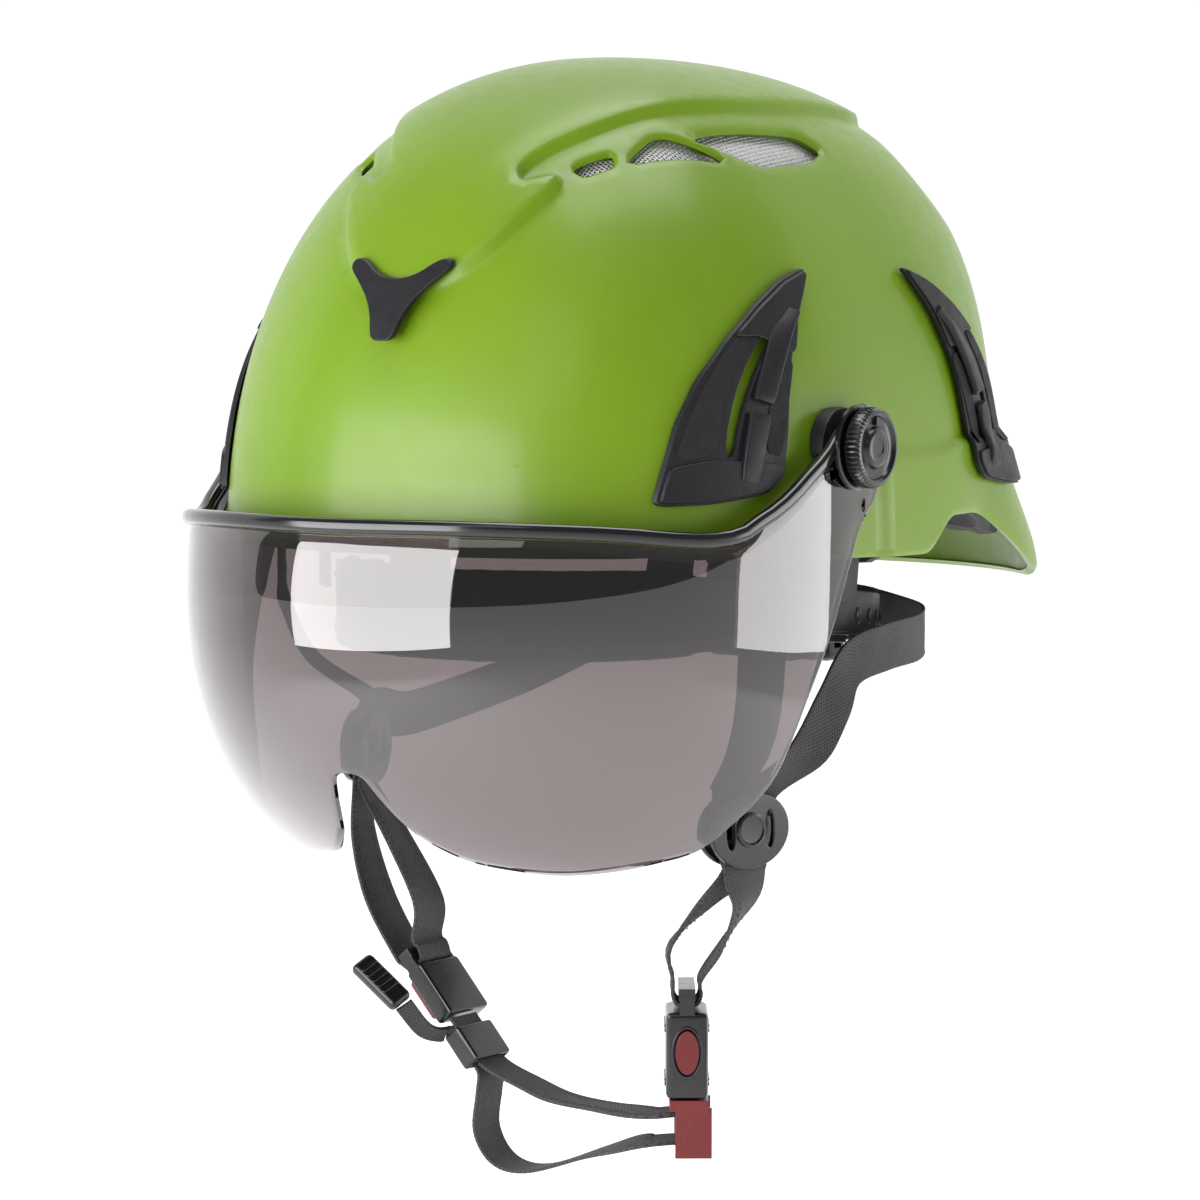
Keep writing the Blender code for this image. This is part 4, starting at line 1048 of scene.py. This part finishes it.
print("pads")
puffPad("brow_pad", "brow_cushion", 0.0032, 0.0014, browSeams)
puffPad("nape_pad", "nape_cushion", 0.004, 0.0014)
puffPad("crown_pad", "crown_cushion", 0.004, 0.0018, crownSeams)


def raisedSide(ob):
    for v in ob.data.vertices:
        x, z = v.co.x / mm, v.co.z / mm
        v.co.z += 5.0 * mm * smooth(-z, 55, 76) * smooth(x, -20, 40)
    return ob


def webSection(width, thick):
    w, t = width / 2, thick / 2
    return [(w, 0), (w - 0.15, t * 0.8), (w - 0.6, t), (w - 1.4, t * 0.75), (0, t * 0.8), (1.4 - w, t * 0.75),
            (0.6 - w, t), (0.15 - w, t * 0.8), (-w, 0), (0.15 - w, -t * 0.8), (0.6 - w, -t),
            (1.4 - w, -t * 0.75),
            (0, -t * 0.8), (w - 1.4, -t * 0.75), (w - 0.6, -t), (w - 0.15, -t * 0.8)]


def strap(name, stations, width, thick, steps=7, stitched=()):
    pts = curvePath([p for p, s in stations], steps)
    dirs = curvePath([Vector(s).normalized() for p, s in stations], steps)
    parts = [sweep(name, pts, dirs, webSection(width, thick), mats["web"], uv=True)]
    # rows of thread: (first, last) as shares of the path, both faces
    for first, last in stitched:
        a, b = int(first * (len(pts) - 1)), int(last * (len(pts) - 1))
        for across in (-0.32, 0.32):
            for i in range(a, b):
                seg = pts[i + 1] - pts[i]
                t = seg.normalized()
                w = (dirs[i] - t * dirs[i].dot(t)).normalized()
                n = t.cross(w)
                at = 0.0
                while at < seg.length:
                    for face in (-1, 1):
                        c = pts[i] + t * at + w * across * width + n * face * thick * 0.5
                        turn = Matrix((t, w, n)).transposed()
                        parts.append(threadBit(c, turn))
                    at += 2.1
    return joinAll(name, parts)


def threadBit(centre, turn):
    half = Vector((0.75, 0.22, 0.16))
    tips = ((-1, 0, 0), (0, -1, 0), (0, 0, 1), (0, 1, 0), (0, 0, -1), (1, 0, 0))
    faces = [(0, 1, 2), (0, 2, 3), (0, 3, 4), (0, 4, 1), (5, 2, 1), (5, 3, 2), (5, 4, 3), (5, 1, 4)]
    return makeMesh("thread", [Vector(centre) + turn @ (half * Vector(p)) for p in tips], faces,
                    mats["thread"])


def vec(*p):
    return Vector(p)


harness = {
    "left": {"sign": 1, "divider": vec(74, -40, -84), "out": vec(0.94, -0.34, 0).normalized(),
             "front": [(90.5, -56, -20), (85, -51, -46)],
             "rear": [(85.8, -22.5, -58), (88.5, -11, -43), (87.5, 2, -31), (87, 24, -27.5), (80.5, 54, -27),
                      (67, 80, -26), (48, 95, -24.5), (34, 100, -23), (26.2, 100.6, -23)],
             "turns": (0.2, 0.5, 0.85, 1, 1, 1, 1, 1, 1),
             "gap": 1.2, "down": [(62, -42, -108), (50.5, -44.5, -122)],
             "hook": [(-4.3, -131), (-4.3, -135.6), (-2.6, -138.6), (2.6, -138.6), (4.3, -135.6), (4.3, -131)],
             "rise": [(64.5, -36.5, -121), (73.5, -37, -107)]},
    "right": {"sign": -1, "divider": vec(-80, -26, -64), "out": vec(-0.95, -0.31, 0).normalized(),
              "front": [(-93, -52, -16), (-90, -42, -34)],
              "rear": [(-85.8, 4, -56.5), (-85, 36, -53), (-77, 64, -46), (-64, 84, -36), (-48, 95.5, -27),
                       (-34, 100, -23), (-26.2, 100.6, -23)],
              "gap": 1.3, "down": [(-66, -28, -92), (-52, -30, -112)],
              "hook": [(4.5, -15), (4.4, -11.5), (2.6, -8), (-2.6, -8), (-4.4, -11.5), (-5, -15)],
              "rise": [(-71, -30, -113), (-79, -28, -94)]},
}
yawT = vec(0.83, 0.56, 0).normalized()
yawW = vec(0.56, -0.83, 0).normalized()
buckleTurn = Matrix((yawT, yawW, up)).transposed()
axisD = vec(0.65, 0, -0.76).normalized()
faceD = vec(0.76, 0, 0.65).normalized()
wideD = vec(0, -1, 0)


def localPoint(origin, *axes):
    return lambda *place: origin + sum((axis * p for axis, p in zip(axes, place)), Vector())


atBuckle = localPoint(vec(55, -42, 0), yawT, yawW, up)
atAdjust = localPoint(vec(-45.5, -31, -138), faceD, wideD, axisD)
atKeeper = localPoint(vec(-29.6, -34, -156.4), faceD, wideD, axisD)


def buildDivider(tag, s, u):
    d, n = s["divider"], s["out"]
    parts = []
    for low, high in ((2.1, 4.1), (-4.1, -2.1)):
        slots = [ellipse(x, 0, 1.5, 5.6, 16) for x in (-7.4, 7.4)]

        def place(a, b, h):
            return d + u * a + up * b + n * h
        parts.append(patch("plate", ellipse(0, 0, 15, 12, 48), slots, place, low, high, mats["fineBlack"],
                           2.0, 0.6))
        side = 1 if low > 0 else -1
        hub = lathe("hub", [(5.6, 3.6 * side), (5.4, 4.7 * side), (4.6, 5.0 * side), (4.0, 4.5 * side),
                            (0, 4.4 * side)], d, n, mats["fineBlack"], 40)
        parts.append(hub)
    turn = Matrix((n, u, up)).transposed()
    parts.append(block("post", d - u * 11.3, (6.6, 3.2, 4.8), mats["fineBlack"], turn, 0.5))
    return joinAll("divider_" + tag, parts)


def buildHarness():
    for tag, s in harness.items():
        sign, d, n = s["sign"], s["divider"], s["out"]
        u = vec(-n.y * sign, n.x * sign, 0)
        anchor = middle("strap_anchor_" + tag)
        out = outward(58 * sign)
        spot = out * vec(anchor.x, anchor.y, 0).length
        tangent = vec(-out.y, out.x, 0) * sign
        carry("strap_anchor_" + tag, mats["black"], 0.3)
        lift = raisedSide if sign > 0 else (lambda ob: ob)
        stations = [(vec(spot.x, spot.y, 1.5), tangent), (vec(spot.x, spot.y, -6), tangent)]
        stations += [(Vector(p), tangent.lerp(u, (k + 1) / 4)) for k, p in enumerate(s["front"])]
        stations += [(d - u * 3 + up * z - n * t, u) for z, t in ((17, 0.9), (12.5, 1.1), (3.4, 1.1))]
        ob = strap("strap_front_" + tag, stations, 16, 1.2, 7, ((0.02, 0.1),))
        done(lift(ob), "helmet", "webbing", "front_strap_" + tag)
        if sign > 0:
            stations = [(d + u * 3 + up * 5 + n * 1.1, u), (d + u * 6 + up * 12.6 + n * 1.35, u)]
            stations += [(Vector(p), u * (1 - k) - up * k) for p, k in zip(s["rear"], s["turns"])]
        else:
            lean = (up - u * 0.55).normalized()
            stations = [(d + u * 7 + up * 6 + n * 1.1, lean), (d + u * 15 + up * 10 + n * 1.1, lean)]
            stations += [(Vector(p), up - u * 0.3) for p in s["rear"]]
        ob = strap("strap_rear_" + tag, stations, 15, 1.2)
        done(lift(ob), "helmet", "webbing", "rear_strap_" + tag)
        done(lift(buildDivider(tag, s, u)), "helmet", "black_nylon", "strap_divider_" + tag)
        place, acr = (atBuckle, -yawW) if sign > 0 else (atAdjust, -wideD)
        mid = u.lerp(acr, 0.5)
        loop = [vec(*p) for p in s["down"]] + [place(t, 0, a) for t, a in s["hook"]]
        loop += [vec(*p) for p in s["rise"]]
        line = list(zip(loop, [mid] + [acr] * (len(loop) - 2) + [mid]))
        ends = ((3.2, 1.1), (8, 1.1), (13.5, s["gap"]))
        stations = [(d - up * z - n * t, u) for z, t in ends] + line
        stations += [(d - up * z + n * t, u) for z, t in reversed(ends)]
        ob = strap("loop_" + tag, stations, 16, 1.2, 6, ((0.17, 0.26), (0.74, 0.83)))
        done(lift(ob), "helmet", "webbing", "lower_loop_" + tag)


def buildChin():
    # out from the keeper to the buckle, round the tongue's bar and back
    acr = -wideD
    half = acr.lerp(-yawW, 0.5)
    there = [atAdjust(1.2, 3, 13.9), atKeeper(1.2, 0, -8), atKeeper(1.2, 0, 0), atKeeper(1.3, 0, 8),
             vec(-9, -36, -166.5), vec(6, -38, -171.5)]
    again = [vec(-4, -37, -194), vec(-18, -36, -192), vec(-25.5, -35, -183), vec(-24.5, -35, -171),
             atKeeper(-1.3, 0, 9), atKeeper(-1.2, 0, 1.0)]
    line = [(p, acr) for p in there] + [(vec(26, -42, -174), half)]
    bars = ((-12, -173.4), (-4, -172.9), (2.0, -172.7), (5.4, -174.2), (6.6, -177.2), (5.4, -180.2),
            (2.0, -181.7), (-4, -181.5), (-14, -182.5))
    line += [(atBuckle(t, 0, z), -yawW) for t, z in bars]
    line += [(vec(20, -40, -188.5), half)] + [(p, acr) for p in again]
    ob = strap("chin_webbing", line, 14, 1.2, 6, ((0.22, 0.38),))
    done(raisedSide(ob), "chin", "webbing", "chin_strap")
    tabStart = vec(-42.5, -56, -142)
    line = [(atAdjust(-1.4, 3, 17.4), acr), (atAdjust(-2.6, 3.4, 16.1), acr),
            (atAdjust(-5.4, 8.5, 15.6), vec(0.6, 1, 0.3)), (atAdjust(-5.2, 16, 12.5), vec(0.8, 0.6, 0.3)),
            (tabStart, vec(0.6, 0.8, 0.1))]
    done(strap("tail_webbing", line, 6, 1.4, 7), "chin", "webbing", "strap_tail")
    way = (vec(-53, -58, -133) - tabStart).normalized()
    above = vec(0.5, 0.8, 0.1)
    above = (above - way * above.dot(way)).normalized()
    turn = Matrix((way, above, way.cross(above))).transposed()
    parts = [block("tab", tabStart + way * 10.6, (19.6, 8.6, 4.2), mats["fineBlack"], turn, 1.8)]
    for k in range(5):
        for face in (-1, 1):
            parts.append(block("grip", tabStart + way * (7 + 2.4 * k) + way.cross(above) * face * 2.0,
                               (1.1, 6.6, 0.9), mats["fineBlack"], turn, 0.35))
    done(joinAll("pull_grip", parts), "chin", "black_nylon", "pull_tab")


def buildBuckle():
    for node in ("buckle_housing", "strap_adjuster", "strap_keeper"):
        carry(node, mats["fineBlack"], 0.9)
    for node in ("buckle_tongue", "buckle_button_front", "buckle_button_back", "release_lever"):
        carry(node, mats["red"], 0.9)
    parts = []
    for w in (-1, 1):
        def place(a, b, h, w=w):
            return atBuckle(a, w * h, -147.5 + b)
        parts.append(patch("bezel", ellipse(0, 0, 4.9, 8.1, 32), [ellipse(0, 0, 4.0, 7.2, 32)], place,
                           11.7, 12.7, mats["fineBlack"], 2.0, 0.3))
    for z in (-158.0, -156.4, -141.4, -139.8):
        for t in (-6.5, 6.5):
            parts.append(block("ridge", atBuckle(t, 0, z), (0.9, 17, 0.7), mats["fineBlack"], buckleTurn,
                               0.25))
    done(joinAll("buckle_trim", parts), "helmet", "black_nylon")


print("harness")
buildHarness()
buildChin()
buildBuckle()


def buildCradle():
    line = [(0, -102.3, -10), (0, -103.2, 5), (0, -103.2, 30), (0, -98, 60), (0, -84, 90), (0, -58, 116),
            (0, -26, 129.4), (0, 5, 132.6), (0, 40, 128.5), (0, 70, 110), (0, 88, 80), (0, 97, 42),
            (0, 99.5, 14),
            (0, 99.5, 2.4)]
    done(strap("cradle_long", [(Vector(p), vec(1, 0, 0)) for p in line], 20, 1.2, 4), "helmet", "webbing",
         "cradle_strap_long")
    side = [(82.3, 2, -12), (83.6, 2, 5), (83.4, 2, 30), (79, 2, 60), (67, 2, 92), (46, 2, 118.5),
            (31, 2, 126.6),
            (15, 2, 129.9), (0, 2, 130.7)]
    line = side + [(-x, y, z) for x, y, z in reversed(side[:-1])]
    done(strap("cradle_cross", [(Vector(p), vec(0, 1, 0)) for p in line], 20, 1.2, 4), "helmet", "webbing",
         "cradle_strap_cross")


print("cradle")
buildCradle()


def addLight(name, place, aim, width, height, power):
    data = bpy.data.lights.new(name, "AREA")
    data.energy = power
    data.shape = "RECTANGLE"
    data.size = width
    data.size_y = height
    ob = link(name, data)
    ob.location = place
    ob.rotation_euler = (Vector(aim) - place).to_track_quat("-Z", "Y").to_euler()


studioForm = {"drop": 0.055, "front": -40, "back": 2.2, "bend": 1.2, "half": 16, "top": 7, "world": 0.22,
              # name, azimuth, distance and height, size, watts, aim
              "lights": (("frontBox", -14, 0.62, 0.03, 0.62, 0.36, 4.6, (0, -0.03, 0)),
                         ("sideBox", 112, 0.75, 0.02, 0.46, 0.34, 2.0, (0, -0.03, 0)),
                         ("high", 20, 1.5, 1.0, 0.7, 0.7, 2.0, (0, 0, 0.05)))}
view = {"azimuth": 34.0, "elevation": 4.5, "distance": 1500.0, "aimSide": -4.5, "aimZ": -15.0, "scale": 3.13}


def studio():
    # floor and back wall in one pale sweep
    f = studioForm
    floorZ = cadBounds[0][2] - f["drop"]
    rows = [(f["front"], 0), (f["back"], 0)]
    rows += [(f["back"] + f["bend"] * math.sin(math.radians(a)),
              f["bend"] - f["bend"] * math.cos(math.radians(a)))
             for a in range(10, 91, 10)]
    rows.append((f["back"] + f["bend"], f["top"]))
    turn = Matrix.Rotation(math.radians(view["azimuth"]), 3, "Z")
    verts = [turn @ Vector((x, y, floorZ + z)) for y, z in rows for x in (-f["half"], f["half"])]
    faces = [(2 * i, 2 * i + 1, 2 * i + 3, 2 * i + 2) for i in range(len(rows) - 1)]
    mesh = bpy.data.meshes.new("sweep")
    mesh.from_pydata(verts, [], faces)
    mesh.shade_smooth()
    paper = newMaterial("palePaper", (0.6, 0.6, 0.6), 0.8, Emission_Color=(1, 1, 1, 1),
                        Emission_Strength=0.72)[0]
    floor = link("sweep", mesh, paper)
    world = bpy.data.worlds.new("studio")
    bpy.context.scene.world = world
    world.use_nodes = True
    world.node_tree.nodes["Background"].inputs["Color"].default_value = (1, 1, 1, 1)
    world.node_tree.nodes["Background"].inputs["Strength"].default_value = f["world"]
    for name, azimuth, distance, z, width, height, power, aim in f["lights"]:
        addLight(name, outward(azimuth) * distance + up * z, aim, width, height, power)
    addLight("over", Vector((0.05, 0.1, 1.3)), (0, 0, 0), 1.0, 1.0, 14)
    cam = bpy.data.cameras.new("camera")
    ob = link("camera", cam)
    bpy.context.scene.camera = ob
    a, e = math.radians(view["azimuth"]), math.radians(view["elevation"])
    back = Vector((math.sin(a) * math.cos(e), -math.cos(a) * math.cos(e), math.sin(e)))
    side = Vector((math.cos(a), math.sin(a), 0))
    aim = Vector((0, 0, view["aimZ"])) + side * view["aimSide"]
    ob.location = (aim + back * view["distance"]) * mm
    ob.rotation_euler = (-back).to_track_quat("-Z", "Y").to_euler()
    cam.sensor_width = 36
    cam.lens = 36 * view["scale"] * view["distance"] / 1200
    cam.clip_start = 0.05
    cam.clip_end = 60
    bpy.context.scene.view_settings.view_transform = "Standard"


studio()
print("done")
